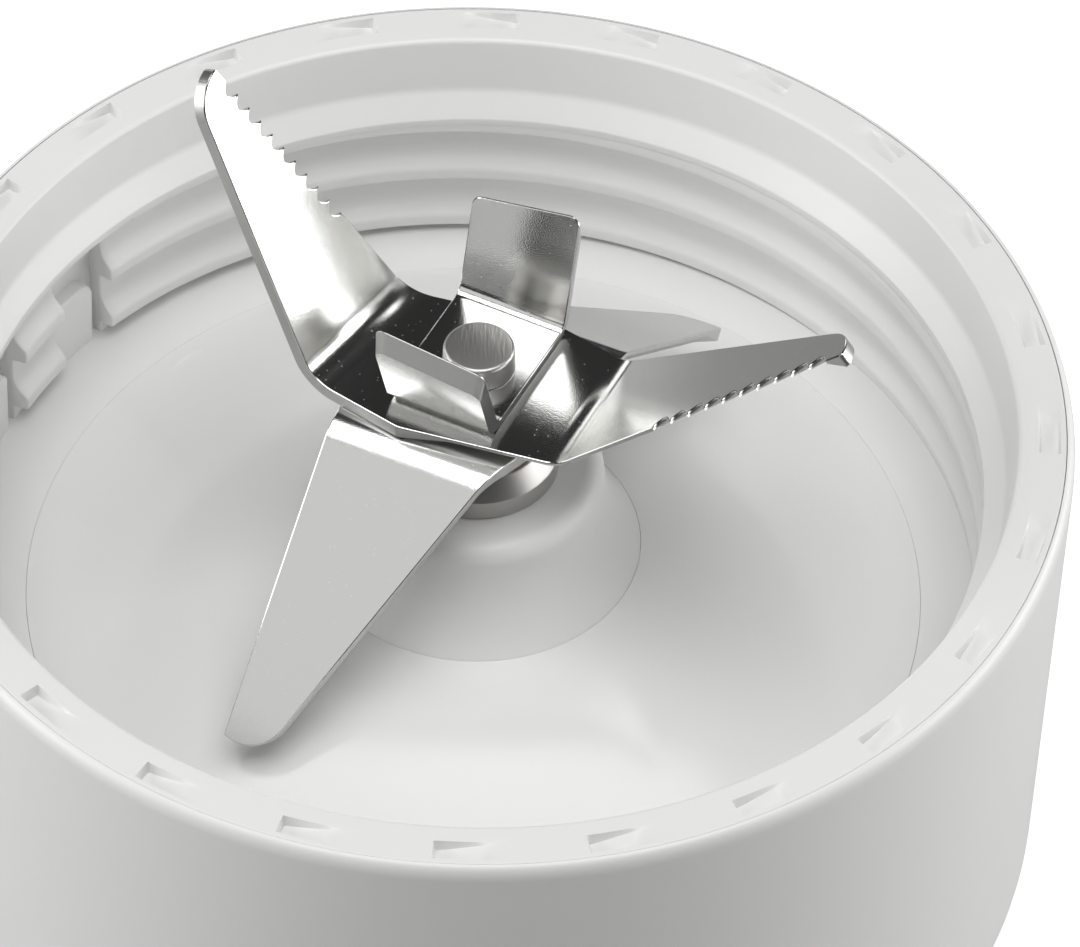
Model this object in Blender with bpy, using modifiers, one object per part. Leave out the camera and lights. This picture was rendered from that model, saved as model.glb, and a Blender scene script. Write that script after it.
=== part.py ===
"""Screw-on blade unit of a countertop blender: a white holder, and a shaft with three blades."""

import math

import bmesh
import bpy
from mathutils import Matrix, Vector

MM = 0.001
GAP = 0.2 * MM  # left between faces that touch on the real unit
RUN = 0.1 * MM  # radial clearance of a turning fit

# Holder, with depths measured down from the rim
SHELL_RADIUS = 48.0 * MM
SHELL_HEIGHT = 50.0 * MM
SHELL_WALL = 2.4 * MM
SHELL_DRAFT = math.radians(1.2)
SHELL_ROUND = 8.0 * MM
CASE_GAP = 1.2 * MM  # between the shell's wall and the cup's
BOTTOM_PLATE = 3.2 * MM
BOTTOM_OPENING = 21.0 * MM
KEY_NOTCH_DEPTH = 2.5 * MM
KEY_NOTCH_REACH = math.radians(12)
KEY_NOTCHES = 3
LIP_WIDTH = 0.7 * MM
LIP_HEIGHT = 1.4 * MM
RIM_WIDTH = 4.6 * MM
FLANGE_THICK = 3.0 * MM

POCKETS = 24
POCKET_WIDTH = 1.4 * MM
POCKET_DEPTH = 1.0 * MM
POCKET_LENGTH = 4.8 * MM
POCKET_START = math.radians(-3.4)
POCKET_INSET = 0.5 * MM
POCKET_RUNOUT = 0.01 * MM  # how far above the rim a pocket's floor ends

PILOT_DEPTH = 5.0 * MM
PILOT_TAPER = 0.7 * MM
CREST_LAND = 0.7 * MM
THREAD_DEPTH = 1.35 * MM
THREAD_PITCH = 5.5 * MM
THREAD_TOP = 7.6 * MM  # centre of the first ridge, at azimuth 90 degrees
THREAD_START = 135.0
THREAD_STEP = 12.0
THREAD_RUNOUT = 0.28 * MM  # between the last ridge and the gasket
BREAK_FIRST = 138.6
BREAK_WIDTH = 8.3
BREAK_PITCH = 16.7
BREAKS = 3  # on each of two opposite sides
CUP_WALL = 2.0 * MM

SEAT_DEPTH = 20.2 * MM
GASKET_WIDTH = 5.6 * MM
GASKET_THICK = 1.8 * MM
DISH_RISE = 5.8 * MM
DISH_SWELL = 1.15  # above 1, the dish's edge lies flatter
DISH_RINGS = 5
FLOOR_THICK = 2.2 * MM

POST_INSET = 4.9 * MM  # from the dish's edge to the posts' centres
POST_RADIUS = 3.6 * MM
SCREWS = 4
SCREW_RADIUS = 1.5 * MM
SCREW_LENGTH = 11.0 * MM
SCREW_HEAD_RADIUS = 3.0 * MM
SCREW_HEAD_HEIGHT = 1.6 * MM
SCREW_SOCKET = 2.5 * MM
SCREW_SOCKET_DEPTH = 1.0 * MM
SCREW_POINT = 0.75 * MM
PILOT_SPARE = 1.0 * MM

# Bearing
BUSH_WALL = 1.4 * MM
BUSH_LENGTH = 8.5 * MM
SEAL_LENGTH = 4.0 * MM
SLEEVE_WALL = 1.4 * MM
SLEEVE_FLANGE_WIDTH = 1.1 * MM
SLEEVE_FLANGE_HEIGHT = 3.2 * MM
SLEEVE_SIDE = 1.8 * MM  # height of the flange's upright side
SLEEVE_EDGE = 0.5 * MM
SLEEVE_TAIL = 3.0 * MM  # below the nut
STEM_WALL = 3.2 * MM
O_RING_INSET = 2.4 * MM  # from the stem to the middle of the ring
O_RING_SECTION = 0.75 * MM
BOSS_EDGE = 2.1 * MM  # from the middle of the ring to the boss's foot
BOSS_TOP_DEPTH = 5.1 * MM
BOSS_FLARE = 3.1 * MM
BOSS_FLARE_POWER = 2.2
BOSS_SHOULDER = 1.6 * MM
WASHER_THICK = 0.8 * MM
LOCK_WIDTH = 5.2 * MM
NUT_WALL = 2.7 * MM
NUT_HEIGHT = 4.0 * MM

# Shaft and blades
SHAFT_RADIUS = 2.5 * MM
TANG_CUT = 0.7 * MM  # depth of each of its two flats
HEAD_LIP = 0.35 * MM
HEAD_HEIGHT = 2.0 * MM
HEAD_CHAMFER = 0.4 * MM
SPACER_WALL = 2.5 * MM
THRUST_WIDTH = 2.1 * MM
SHEET = 1.2 * MM
HUB_TOP = 4.46 * MM  # upper blade's top face, above the rim
BEND_RADIUS = 3.0 * MM
BEND_STEPS = 5

UPPER_AZIMUTH = math.radians(146.7)
UPPER_FOLDS = (10.13 * MM, 9.75 * MM)
UPPER_BENDS = (math.radians(65.0), math.radians(40.6))
UPPER_SKEWS = (math.radians(-2.5), math.radians(8.2))  # turn of each fold line round the shaft
UPPER_BACK = 8.47 * MM  # where the back's line passes the shaft
UPPER_BACK_TAPER = math.radians(2.5)
UPPER_FRONT = -7.74 * MM  # where the toothed edge's line passes the shaft
UPPER_TAPER = math.radians(16.86)
UPPER_LENGTH = 38.36 * MM
UPPER_TIP = 3.5 * MM
UPPER_TIP_SIDE = 3.42 * MM  # how far the tip's centre lies from the shaft's line
UPPER_TIP_ARC = (88, 8)  # degrees
TEETH = 10
TOOTH_PITCH = 1.67 * MM
TOOTH_DEPTH = 0.85 * MM
TOOTH_HOOK = 0.3  # share of the pitch taken by a tooth's steep side
FIRST_TOOTH = 1.55 * MM  # from the tip

LOWER_AZIMUTH = math.radians(246.0)
LOWER_FOLDS = (8.6 * MM, 8.6 * MM)
LOWER_BENDS = (math.radians(-42.3), math.radians(-38.3))
LOWER_EDGE = 9.0 * MM
LOWER_LENGTH = 35.2 * MM
LOWER_TIP = 3.3 * MM
LOWER_TIP_SHIFT = 0.42  # how far inside the edge the tip's centre lies, as a share of its radius
LOWER_TAPER = math.radians(21.2)

TAB_AZIMUTH = math.radians(63.9)
TAB_FOLDS = (6.71 * MM, 4.9 * MM)
TAB_BENDS = (math.radians(76.4), math.radians(71.1))
TAB_BEND_RADIUS = 1.0 * MM
TAB_SIDES = (-4.24 * MM, 5.18 * MM)  # the plate's two long sides, from the shaft's line
TAB_BACK_ENDS = (10.62 * MM, 9.07 * MM)  # from the fold to the end, at each side
TAB_FRONT_ENDS = (7.95 * MM, 9.68 * MM)
TAB_CORNER = 0.9 * MM

# Drive
CLIP_WIDTH = 1.8 * MM
CLIP_THICK = 0.8 * MM
CLIP_SLOT = math.radians(35)
GROOVE_DEPTH = 0.4 * MM
COUPLING_RADIUS = 10.0 * MM
COUPLING_ROOT = 7.6 * MM
COUPLING_TEETH = 6
COUPLING_SQUARENESS = 2.5
COUPLING_HEIGHT = 9.0 * MM
INSERT_WALL = 1.3 * MM
TAIL_STEP = 0.5 * MM
TAIL_WASHER_WIDTH = 2.3 * MM
TAIL_NUT_WALL = 1.3 * MM
TAIL_NUT_HEIGHT = 2.6 * MM
TAIL_PROUD = 0.8 * MM

# Facets to a turn or to an arc
WIDE_STEPS = 60
MID_STEPS = 36
FINE_STEPS = 24
SMALL_STEPS = 20
ARC_STEPS = 6

# Heights and radii that follow from the sizes above
RIM_Z = SHELL_HEIGHT
FOOT_RADIUS = SHELL_RADIUS - (SHELL_HEIGHT - SHELL_ROUND) * math.tan(SHELL_DRAFT)
LIP_RADIUS = SHELL_RADIUS - LIP_WIDTH
FLANGE_RADIUS = LIP_RADIUS - GAP
LEDGE_Z = RIM_Z - FLANGE_THICK - GAP
CUP_RADIUS = SHELL_RADIUS - SHELL_WALL - CASE_GAP
ROOT_RADIUS = CUP_RADIUS - CUP_WALL
CREST_RADIUS = ROOT_RADIUS - THREAD_DEPTH
SEAT_Z = RIM_Z - SEAT_DEPTH
THREAD_FALL = SEAT_DEPTH - THREAD_TOP - THREAD_DEPTH - THREAD_RUNOUT
THREAD_TURNS = THREAD_FALL / THREAD_PITCH + (THREAD_START - 90) / 360
RECESS_Z = SEAT_Z - GASKET_THICK - GAP
GASKET_OUTER = ROOT_RADIUS - GAP
GASKET_INNER = GASKET_OUTER - GASKET_WIDTH
DISH_RADIUS = GASKET_INNER - GAP
POST_CIRCLE = DISH_RADIUS - POST_INSET
DISH_Z = SEAT_Z + DISH_RISE
SHAFT_BORE = SHAFT_RADIUS + RUN
SLEEVE_BORE = SHAFT_BORE + BUSH_WALL + GAP
SLEEVE_RADIUS = SLEEVE_BORE + SLEEVE_WALL
SLEEVE_FLANGE = SLEEVE_RADIUS + SLEEVE_FLANGE_WIDTH
SLEEVE_FIT = SLEEVE_RADIUS + GAP
STEM_RADIUS = SLEEVE_FIT + STEM_WALL
O_RING_RADIUS = STEM_RADIUS + O_RING_INSET
BOSS_RADIUS = O_RING_RADIUS + BOSS_EDGE
BOSS_NECK = BOSS_RADIUS - BOSS_FLARE
BOSS_POCKET = BOSS_RADIUS + GAP
BOSS_TOP = RIM_Z - BOSS_TOP_DEPTH
BOSS_Z = DISH_Z - FLOOR_THICK
POCKET_Z = BOSS_Z - GAP
LOCK_Z = POCKET_Z - FLOOR_THICK - GAP - WASHER_THICK
NUT_Z = LOCK_Z - GAP - NUT_HEIGHT
SLEEVE_END = NUT_Z - SLEEVE_TAIL
SLEEVE_SEAT = BOSS_TOP + GAP
SLEEVE_TOP = SLEEVE_SEAT + SLEEVE_FLANGE_HEIGHT
SHAFT_FIT = SHAFT_RADIUS + GAP
TANG_FLAT = SHAFT_RADIUS - TANG_CUT
UPPER_Z = RIM_Z + HUB_TOP - SHEET
TAB_Z = UPPER_Z + SHEET + GAP
LOWER_Z = UPPER_Z - GAP - SHEET
THRUST_Z = SLEEVE_TOP + GAP
SPACER_Z = THRUST_Z + WASHER_THICK + GAP
HEAD_Z = TAB_Z + SHEET + GAP
LOWER_THRUST_Z = SLEEVE_END - GAP - WASHER_THICK
CLIP_Z = LOWER_THRUST_Z - GAP - CLIP_THICK
TAIL_RADIUS = SHAFT_RADIUS - TAIL_STEP
TAIL_FIT = TAIL_RADIUS + GAP
INSERT_FLATS = 2 * (SHAFT_FIT + INSERT_WALL)
COUPLING_Z = CLIP_Z - 2 * GAP - COUPLING_HEIGHT
TAIL_WASHER_Z = COUPLING_Z - GAP - WASHER_THICK
TAIL_NUT_Z = TAIL_WASHER_Z - GAP - TAIL_NUT_HEIGHT
SHAFT_END = TAIL_NUT_Z - TAIL_PROUD


def clear_scene():
    for obj in list(bpy.data.objects):
        bpy.data.objects.remove(obj, do_unlink=True)


def collection(name):
    made = bpy.data.collections.new(name)
    bpy.context.scene.collection.children.link(made)
    return made


def material(name, color, roughness, metallic=0.0):
    made = bpy.data.materials.new(name)
    made.use_nodes = True
    shader = made.node_tree.nodes["Principled BSDF"]
    shader.inputs["Base Color"].default_value = (*color, 1.0)
    shader.inputs["Roughness"].default_value = roughness
    shader.inputs["Metallic"].default_value = metallic
    return made


clear_scene()
UNIT = collection("blade_unit")
CUTTERS = collection("cutters")
WHITE_ABS = material("white_abs", (0.86, 0.86, 0.86), 0.4)
WHITE_SILICONE = material("white_silicone", (0.84, 0.84, 0.83), 0.6)
BLADE_STEEL = material("blade_steel", (0.62, 0.62, 0.62), 0.15, 1.0)
TURNED_STEEL = material("turned_steel", (0.58, 0.58, 0.58), 0.3, 1.0)
BRONZE = material("bronze", (0.55, 0.36, 0.18), 0.45, 1.0)
BLACK_RUBBER = material("black_rubber", (0.03, 0.03, 0.03), 0.8)
FIBRE = material("fibre", (0.45, 0.3, 0.16), 0.7)
BLACK_NYLON = material("black_nylon", (0.05, 0.05, 0.05), 0.5)

ROTOR = bpy.data.objects.new("rotor_axis", None)
UNIT.objects.link(ROTOR)


# Tools


def add_object(name, mesh, surface, parent=None):
    """Puts a mesh in the unit, or among the cutters if it has no surface."""
    obj = bpy.data.objects.new(name, mesh)
    obj.parent = parent
    if surface is None:
        CUTTERS.objects.link(obj)
        obj.hide_render = True
        obj.display_type = "WIRE"
    else:
        UNIT.objects.link(obj)
        mesh.materials.clear()
        mesh.materials.append(surface)
        mesh.shade_smooth()
        mesh.set_sharp_from_angle(angle=math.radians(30))
    return obj


def evaluated_mesh(obj):
    """The object's shape with its modifiers applied, its doubles merged and its faces outwards."""
    bpy.context.view_layer.update()
    graph = bpy.context.evaluated_depsgraph_get()
    mesh = bpy.data.meshes.new_from_object(obj.evaluated_get(graph))
    mesh.transform(obj.matrix_world)
    bm = bmesh.new()
    bm.from_mesh(mesh)
    bmesh.ops.remove_doubles(bm, verts=bm.verts, dist=1e-7)
    bmesh.ops.recalc_face_normals(bm, faces=bm.faces)
    bm.to_mesh(mesh)
    bm.free()
    return mesh


def solid_from(drawn, name, surface, parent=None):
    """Replaces a drawn curve or profile by the mesh that it makes."""
    mesh = evaluated_mesh(drawn)
    bpy.data.objects.remove(drawn)
    return add_object(name, mesh, surface, parent)


def turned(name, profile, surface, steps=FINE_STEPS, parent=None):
    """Outline of (radius, height) points, turned round the Z axis; it is open along the axis."""
    mesh = bpy.data.meshes.new(name)
    points = [Vector((radius, 0, height)) for radius, height in profile]
    ring = [(i, (i + 1) % len(points)) for i in range(len(points))]
    edges = [(a, b) for a, b in ring if points[a].x > 0 or points[b].x > 0]
    mesh.from_pydata(points, edges, [])
    drawn = bpy.data.objects.new(name, mesh)
    UNIT.objects.link(drawn)
    screw = drawn.modifiers.new("turn", "SCREW")
    screw.steps = steps
    screw.render_steps = steps
    screw.use_merge_vertices = True
    screw.merge_threshold = 0.00001
    return solid_from(drawn, name, surface, parent)


def ring(name, inner, outer, low, high, surface, steps=FINE_STEPS, parent=None):
    profile = [(outer, high), (outer, low), (inner, low), (inner, high)]
    return turned(name, profile, surface, steps, parent)


def prism(name, outlines, low, high, surface, parent=None):
    """Flat outlines, the later ones holes in the first, extruded from low to high."""
    curve = bpy.data.curves.new(name, "CURVE")
    curve.dimensions = "2D"
    curve.fill_mode = "BOTH"
    curve.extrude = (high - low) / 2
    for outline in outlines:
        spline = curve.splines.new("POLY")
        spline.points.add(len(outline) - 1)
        for point, (x, y) in zip(spline.points, outline):
            point.co = (x, y, 0, 1)
        spline.use_cyclic_u = True
    drawn = bpy.data.objects.new(name, curve)
    UNIT.objects.link(drawn)
    drawn.location.z = (low + high) / 2
    return solid_from(drawn, name, surface, parent)


def joined(name, objects):
    """One cutter made of several, so that all of them are cut in one step."""
    bm = bmesh.new()
    for obj in objects:
        bm.from_mesh(obj.data)
        bpy.data.objects.remove(obj)
    mesh = bpy.data.meshes.new(name)
    bm.to_mesh(mesh)
    bm.free()
    return add_object(name, mesh, None)


def boolean(obj, other, operation):
    step = obj.modifiers.new(other.name, "BOOLEAN")
    step.operation = operation
    step.solver = "EXACT"
    step.object = other


def arc(centre, radius, start, end, steps):
    """Points round a centre, from one angle to another in degrees."""
    angles = [math.radians(start + (end - start) * i / steps) for i in range(steps + 1)]
    return [(centre[0] + radius * math.cos(a), centre[1] + radius * math.sin(a)) for a in angles]


def circle(radius, steps):
    return arc((0, 0), radius, 0, 360, steps)[:-1]


def hexagon(flats):
    return circle(flats / math.sqrt(3), 6)


def double_d(radius, flat, turn=0.0):
    """Round outline with two flats, each at a distance flat from the middle."""
    reach = math.degrees(math.asin(flat / radius))
    right = arc((0, 0), radius, -reach, reach, ARC_STEPS)
    left = arc((0, 0), radius, 180 - reach, 180 + reach, ARC_STEPS)
    spin = Matrix.Rotation(turn, 2)
    return [tuple(spin @ Vector(point)) for point in right + left]


def opposite(points):
    return [(-x, -y) for x, y in points]


def on_circle(radius, angle, height=0.0):
    return Matrix.Translation((radius * math.cos(angle), radius * math.sin(angle), height))


# Holder


def screw_angles():
    return [math.pi / 4 + 2 * math.pi * i / SCREWS for i in range(SCREWS)]


def outer_shell():
    profile = [
        (LIP_RADIUS + LIP_WIDTH * x, RIM_Z - LIP_HEIGHT * (1 - y))
        for x, y in arc((0, 0), 1, 90, 0, ARC_STEPS // 2)
    ]
    round_x = FOOT_RADIUS - SHELL_ROUND
    inner_round = SHELL_ROUND - SHELL_WALL
    profile += arc((round_x, SHELL_ROUND), SHELL_ROUND, 0, -90, ARC_STEPS)
    profile += [(BOTTOM_OPENING, 0), (BOTTOM_OPENING, BOTTOM_PLATE)]
    profile += arc((round_x, BOTTOM_PLATE + inner_round), inner_round, -90, 0, ARC_STEPS)
    profile += [(SHELL_RADIUS - SHELL_WALL, LEDGE_Z), (LIP_RADIUS, LEDGE_Z)]
    shell = turned("outer_shell", profile, WHITE_ABS, WIDE_STEPS)
    cutters = [counterbore(angle) for angle in screw_angles()]
    cutters += [key_notch(number) for number in range(KEY_NOTCHES)]
    boolean(shell, joined("shell_cutters", cutters), "DIFFERENCE")


def counterbore(angle):
    head = SCREW_HEAD_RADIUS + GAP
    bore = SCREW_RADIUS + GAP
    step = SCREW_HEAD_HEIGHT + 2 * GAP
    profile = [(0, 2 * BOTTOM_PLATE), (bore, 2 * BOTTOM_PLATE), (bore, step), (head, step)]
    profile += [(head, -BOTTOM_PLATE), (0, -BOTTOM_PLATE)]
    cutter = turned("counterbore", profile, None, SMALL_STEPS)
    cutter.data.transform(on_circle(POST_CIRCLE, angle))
    return cutter


def key_notch(number):
    """Notch in the edge of the bottom opening, where a lug of the motor base passes."""
    middle = math.degrees(2 * math.pi * number / KEY_NOTCHES + math.pi / 2)
    reach = math.degrees(KEY_NOTCH_REACH)
    outer = arc((0, 0), BOTTOM_OPENING + KEY_NOTCH_DEPTH, middle - reach, middle + reach, ARC_STEPS)
    inner = arc((0, 0), BOTTOM_OPENING - KEY_NOTCH_DEPTH, middle + reach, middle - reach, 1)
    return prism("key_notch", [outer + inner], -BOTTOM_PLATE, 2 * BOTTOM_PLATE, None)


def dish_height(radius):
    """Top of the dish, a shallow dome between the gasket's seat and the boss."""
    share = (DISH_RADIUS - radius) / (DISH_RADIUS - BOSS_POCKET)
    return SEAT_Z + DISH_RISE * math.sin(share * math.pi / 2) ** DISH_SWELL


def threaded_cup():
    land = RIM_Z - THREAD_TOP
    stations = [
        BOSS_POCKET + (DISH_RADIUS - BOSS_POCKET) * i / DISH_RINGS for i in range(DISH_RINGS + 1)
    ]
    top = [(radius, dish_height(radius)) for radius in stations]
    under = [(radius, height - FLOOR_THICK) for radius, height in top[1:-1]]
    profile = [
        (FLANGE_RADIUS, RIM_Z),
        (FLANGE_RADIUS, RIM_Z - FLANGE_THICK),
        (CUP_RADIUS, RIM_Z - FLANGE_THICK),
        (CUP_RADIUS, RECESS_Z - FLOOR_THICK),
        (DISH_RADIUS - FLOOR_THICK, RECESS_Z - FLOOR_THICK),
        *reversed(under),
        (BOSS_POCKET + FLOOR_THICK, POCKET_Z - FLOOR_THICK),
        (STEM_RADIUS + GAP, POCKET_Z - FLOOR_THICK),
        (STEM_RADIUS + GAP, POCKET_Z),
        (BOSS_POCKET, POCKET_Z),
        *top,
        (DISH_RADIUS, RECESS_Z),
        (ROOT_RADIUS, RECESS_Z),
        (ROOT_RADIUS, land - THREAD_DEPTH),
        (CREST_RADIUS, land),
        (CREST_RADIUS, land + CREST_LAND),
        (SHELL_RADIUS - RIM_WIDTH - PILOT_TAPER, RIM_Z - PILOT_DEPTH),
        (SHELL_RADIUS - RIM_WIDTH, RIM_Z),
    ]
    cup = turned("threaded_cup", profile, WHITE_ABS, WIDE_STEPS)
    added = [ridge(start, end) for start, end in ridge_spans()]
    added += [post(angle) for angle in screw_angles()]
    boolean(cup, joined("thread_and_posts", added), "UNION")
    cut = [pocket_cutter()] + [pilot_hole(angle) for angle in screw_angles()]
    boolean(cup, joined("cup_cutters", cut), "DIFFERENCE")


def in_break(angle):
    """Whether the thread is left out at this azimuth, in degrees."""
    along = (angle - BREAK_FIRST) % 180
    return along < BREAK_PITCH * BREAKS and along % BREAK_PITCH < BREAK_WIDTH


def ridge_spans():
    """Start and end, in degrees down the helix, of each unbroken stretch of thread."""
    end = THREAD_START - 360 * THREAD_TURNS
    stops = {THREAD_START, end}
    for number in range(BREAKS):
        low = BREAK_FIRST + BREAK_PITCH * number
        for angle in (low, low + BREAK_WIDTH):
            turns = range(math.ceil((end - angle) / 180), math.ceil((THREAD_START - angle) / 180))
            stops.update(angle + 180 * turn for turn in turns)
    order = sorted(stops, reverse=True)
    pairs = zip(order[:-1], order[1:])
    return [(high, low) for high, low in pairs if not in_break((high + low) / 2)]


def ridge(start, end):
    """One stretch of the thread, a round bead sunk to half its width in the cup's wall."""
    curve = bpy.data.curves.new("ridge", "CURVE")
    curve.dimensions = "3D"
    curve.bevel_depth = THREAD_DEPTH
    curve.bevel_resolution = 1
    curve.use_fill_caps = True
    spline = curve.splines.new("POLY")
    steps = max(1, round((start - end) / THREAD_STEP))
    spline.points.add(steps)
    for i, point in enumerate(spline.points):
        angle = start + (end - start) * i / steps
        height = RIM_Z - THREAD_TOP + THREAD_PITCH * (angle - 90) / 360
        turn = math.radians(angle)
        point.co = (ROOT_RADIUS * math.cos(turn), ROOT_RADIUS * math.sin(turn), height, 1)
    drawn = bpy.data.objects.new("ridge", curve)
    UNIT.objects.link(drawn)
    return solid_from(drawn, "ridge", None)


def pocket_cutter():
    """Ramped pockets in the rim: each is deep at one end and runs out at the other."""
    bm = bmesh.new()
    middle = FLANGE_RADIUS - POCKET_INSET - POCKET_WIDTH / 2
    above = POCKET_DEPTH / 2
    for number in range(POCKETS):
        made = bmesh.ops.create_cube(bm, size=1.0)["verts"]
        turn = POCKET_START + 2 * math.pi * number / POCKETS
        for vert in made:
            along = (vert.co.y + 0.5) * POCKET_LENGTH
            floor = -POCKET_DEPTH if vert.co.y < 0 else POCKET_RUNOUT
            height = above if vert.co.z > 0 else floor
            vert.co = Vector((middle + vert.co.x * POCKET_WIDTH, along, RIM_Z + height))
        bmesh.ops.rotate(bm, verts=made, matrix=Matrix.Rotation(turn, 3, "Z"))
    mesh = bpy.data.meshes.new("rim_pockets")
    bmesh.ops.recalc_face_normals(bm, faces=bm.faces)
    bm.to_mesh(mesh)
    bm.free()
    return add_object("rim_pockets", mesh, None)


def post(angle):
    low = BOTTOM_PLATE + GAP
    high = dish_height(POST_CIRCLE) - FLOOR_THICK / 2
    profile = [(0, high), (POST_RADIUS, high), (POST_RADIUS, low), (0, low)]
    made = turned("post", profile, None, SMALL_STEPS)
    made.data.transform(on_circle(POST_CIRCLE, angle))
    return made


def pilot_hole(angle):
    high = screw_tip() + PILOT_SPARE
    radius = SCREW_RADIUS + GAP
    profile = [(0, high), (radius, high), (radius, 0), (0, 0)]
    made = turned("pilot_hole", profile, None, SMALL_STEPS)
    made.data.transform(on_circle(POST_CIRCLE, angle))
    return made


def screw_tip():
    return GAP + SCREW_HEAD_HEIGHT + SCREW_LENGTH


def case_screw(number, angle):
    head = GAP + SCREW_HEAD_HEIGHT
    profile = [(0, screw_tip()), (SCREW_POINT, screw_tip())]
    profile += [(SCREW_RADIUS, screw_tip() - SCREW_RADIUS), (SCREW_RADIUS, head)]
    profile += [(SCREW_HEAD_RADIUS, head), (SCREW_HEAD_RADIUS, GAP), (0, GAP)]
    screw = turned(f"case_screw_{number}", profile, TURNED_STEEL, SMALL_STEPS)
    screw.data.transform(on_circle(POST_CIRCLE, angle))
    outline = hexagon(SCREW_SOCKET)
    socket = prism(f"screw_socket_{number}", [outline], -GAP, GAP + SCREW_SOCKET_DEPTH, None)
    socket.data.transform(on_circle(POST_CIRCLE, angle))
    boolean(screw, socket, "DIFFERENCE")


def jar_gasket():
    ring("jar_gasket", GASKET_INNER, GASKET_OUTER, SEAT_Z - GASKET_THICK, SEAT_Z,
         WHITE_SILICONE, WIDE_STEPS)


# Bearing


def boss_side(share):
    """Radius of the boss's flared side, from its foot at share 0 up to its shoulder at 1."""
    return BOSS_NECK + BOSS_FLARE * (1 - share) ** BOSS_FLARE_POWER


def bearing_boss():
    shoulder_z = BOSS_TOP - BOSS_SHOULDER
    groove = O_RING_SECTION + GAP
    groove_z = BOSS_Z + 2 * O_RING_SECTION
    end = POCKET_Z - FLOOR_THICK + GAP
    centre = (BOSS_NECK - BOSS_SHOULDER, shoulder_z)
    profile = arc(centre, BOSS_SHOULDER, 90, 0, ARC_STEPS // 2)
    for step in reversed(range(ARC_STEPS)):
        share = step / ARC_STEPS
        profile.append((boss_side(share), DISH_Z + (shoulder_z - DISH_Z) * share))
    profile += [
        (BOSS_RADIUS, BOSS_Z),
        (O_RING_RADIUS + groove, BOSS_Z),
        (O_RING_RADIUS + groove, groove_z),
        (O_RING_RADIUS - groove, groove_z),
        (O_RING_RADIUS - groove, BOSS_Z),
        (STEM_RADIUS, BOSS_Z),
        (STEM_RADIUS, end),
        (SLEEVE_FIT, end),
        (SLEEVE_FIT, BOSS_TOP),
    ]
    turned("bearing_boss", profile, WHITE_ABS, MID_STEPS)


def boss_o_ring():
    centre = (O_RING_RADIUS, POCKET_Z + O_RING_SECTION + GAP / 4)
    section = arc(centre, O_RING_SECTION, 90, -270, 2 * ARC_STEPS)[:-1]
    turned("boss_o_ring", section, BLACK_RUBBER, FINE_STEPS)


def bearing_sleeve():
    shoulder = SLEEVE_SEAT + SLEEVE_SIDE
    profile = [
        ((SLEEVE_BORE + SLEEVE_FLANGE) / 2, SLEEVE_TOP),
        (SLEEVE_FLANGE - SLEEVE_EDGE, shoulder + SLEEVE_EDGE),
        (SLEEVE_FLANGE, shoulder),
        (SLEEVE_FLANGE, SLEEVE_SEAT),
        (SLEEVE_RADIUS, SLEEVE_SEAT),
        (SLEEVE_RADIUS, SLEEVE_END),
        (SLEEVE_BORE, SLEEVE_END),
        (SLEEVE_BORE, SLEEVE_TOP),
    ]
    turned("bearing_sleeve", profile, TURNED_STEEL, FINE_STEPS)


def bearings():
    outer = SLEEVE_BORE - GAP
    top = SLEEVE_TOP - GAP
    end = SLEEVE_END + GAP
    ring("upper_bush", SHAFT_BORE, outer, top - BUSH_LENGTH, top, BRONZE)
    ring("lower_bush", SHAFT_BORE, outer, end, end + BUSH_LENGTH, BRONZE)
    seal = (top - BUSH_LENGTH + end + BUSH_LENGTH) / 2
    ring("shaft_seal", SHAFT_BORE, outer, seal - SEAL_LENGTH / 2, seal + SEAL_LENGTH / 2,
         BLACK_RUBBER)


def clamp():
    ring("lock_washer", SLEEVE_FIT, SLEEVE_FIT + LOCK_WIDTH, LOCK_Z, LOCK_Z + WASHER_THICK,
         TURNED_STEEL)
    outlines = [hexagon(2 * (SLEEVE_FIT + NUT_WALL)), circle(SLEEVE_FIT, FINE_STEPS)]
    prism("retaining_nut", outlines, NUT_Z, NUT_Z + NUT_HEIGHT, TURNED_STEEL)


# Shaft and blades


def blade_shaft():
    groove = SHAFT_RADIUS - GROOVE_DEPTH
    head = SHAFT_RADIUS + HEAD_LIP
    head_top = HEAD_Z + HEAD_HEIGHT
    profile = [
        (0, head_top),
        (head - HEAD_CHAMFER, head_top),
        (head, head_top - HEAD_CHAMFER),
        (head, HEAD_Z),
        (SHAFT_RADIUS, HEAD_Z),
        (SHAFT_RADIUS, CLIP_Z + CLIP_THICK + GAP / 2),
        (groove, CLIP_Z + CLIP_THICK + GAP / 2),
        (groove, CLIP_Z - GAP / 2),
        (SHAFT_RADIUS, CLIP_Z - GAP / 2),
        (SHAFT_RADIUS, COUPLING_Z),
        (TAIL_RADIUS, COUPLING_Z),
        (TAIL_RADIUS, SHAFT_END),
        (0, SHAFT_END),
    ]
    shaft = turned("blade_shaft", profile, TURNED_STEEL, FINE_STEPS, ROTOR)
    boolean(shaft, flats("blade_flats", LOWER_Z - GAP, HEAD_Z - GAP / 2), "DIFFERENCE")
    boolean(shaft, flats("drive_flats", COUPLING_Z - GAP, COUPLING_Z + COUPLING_HEIGHT),
            "DIFFERENCE")


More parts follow.
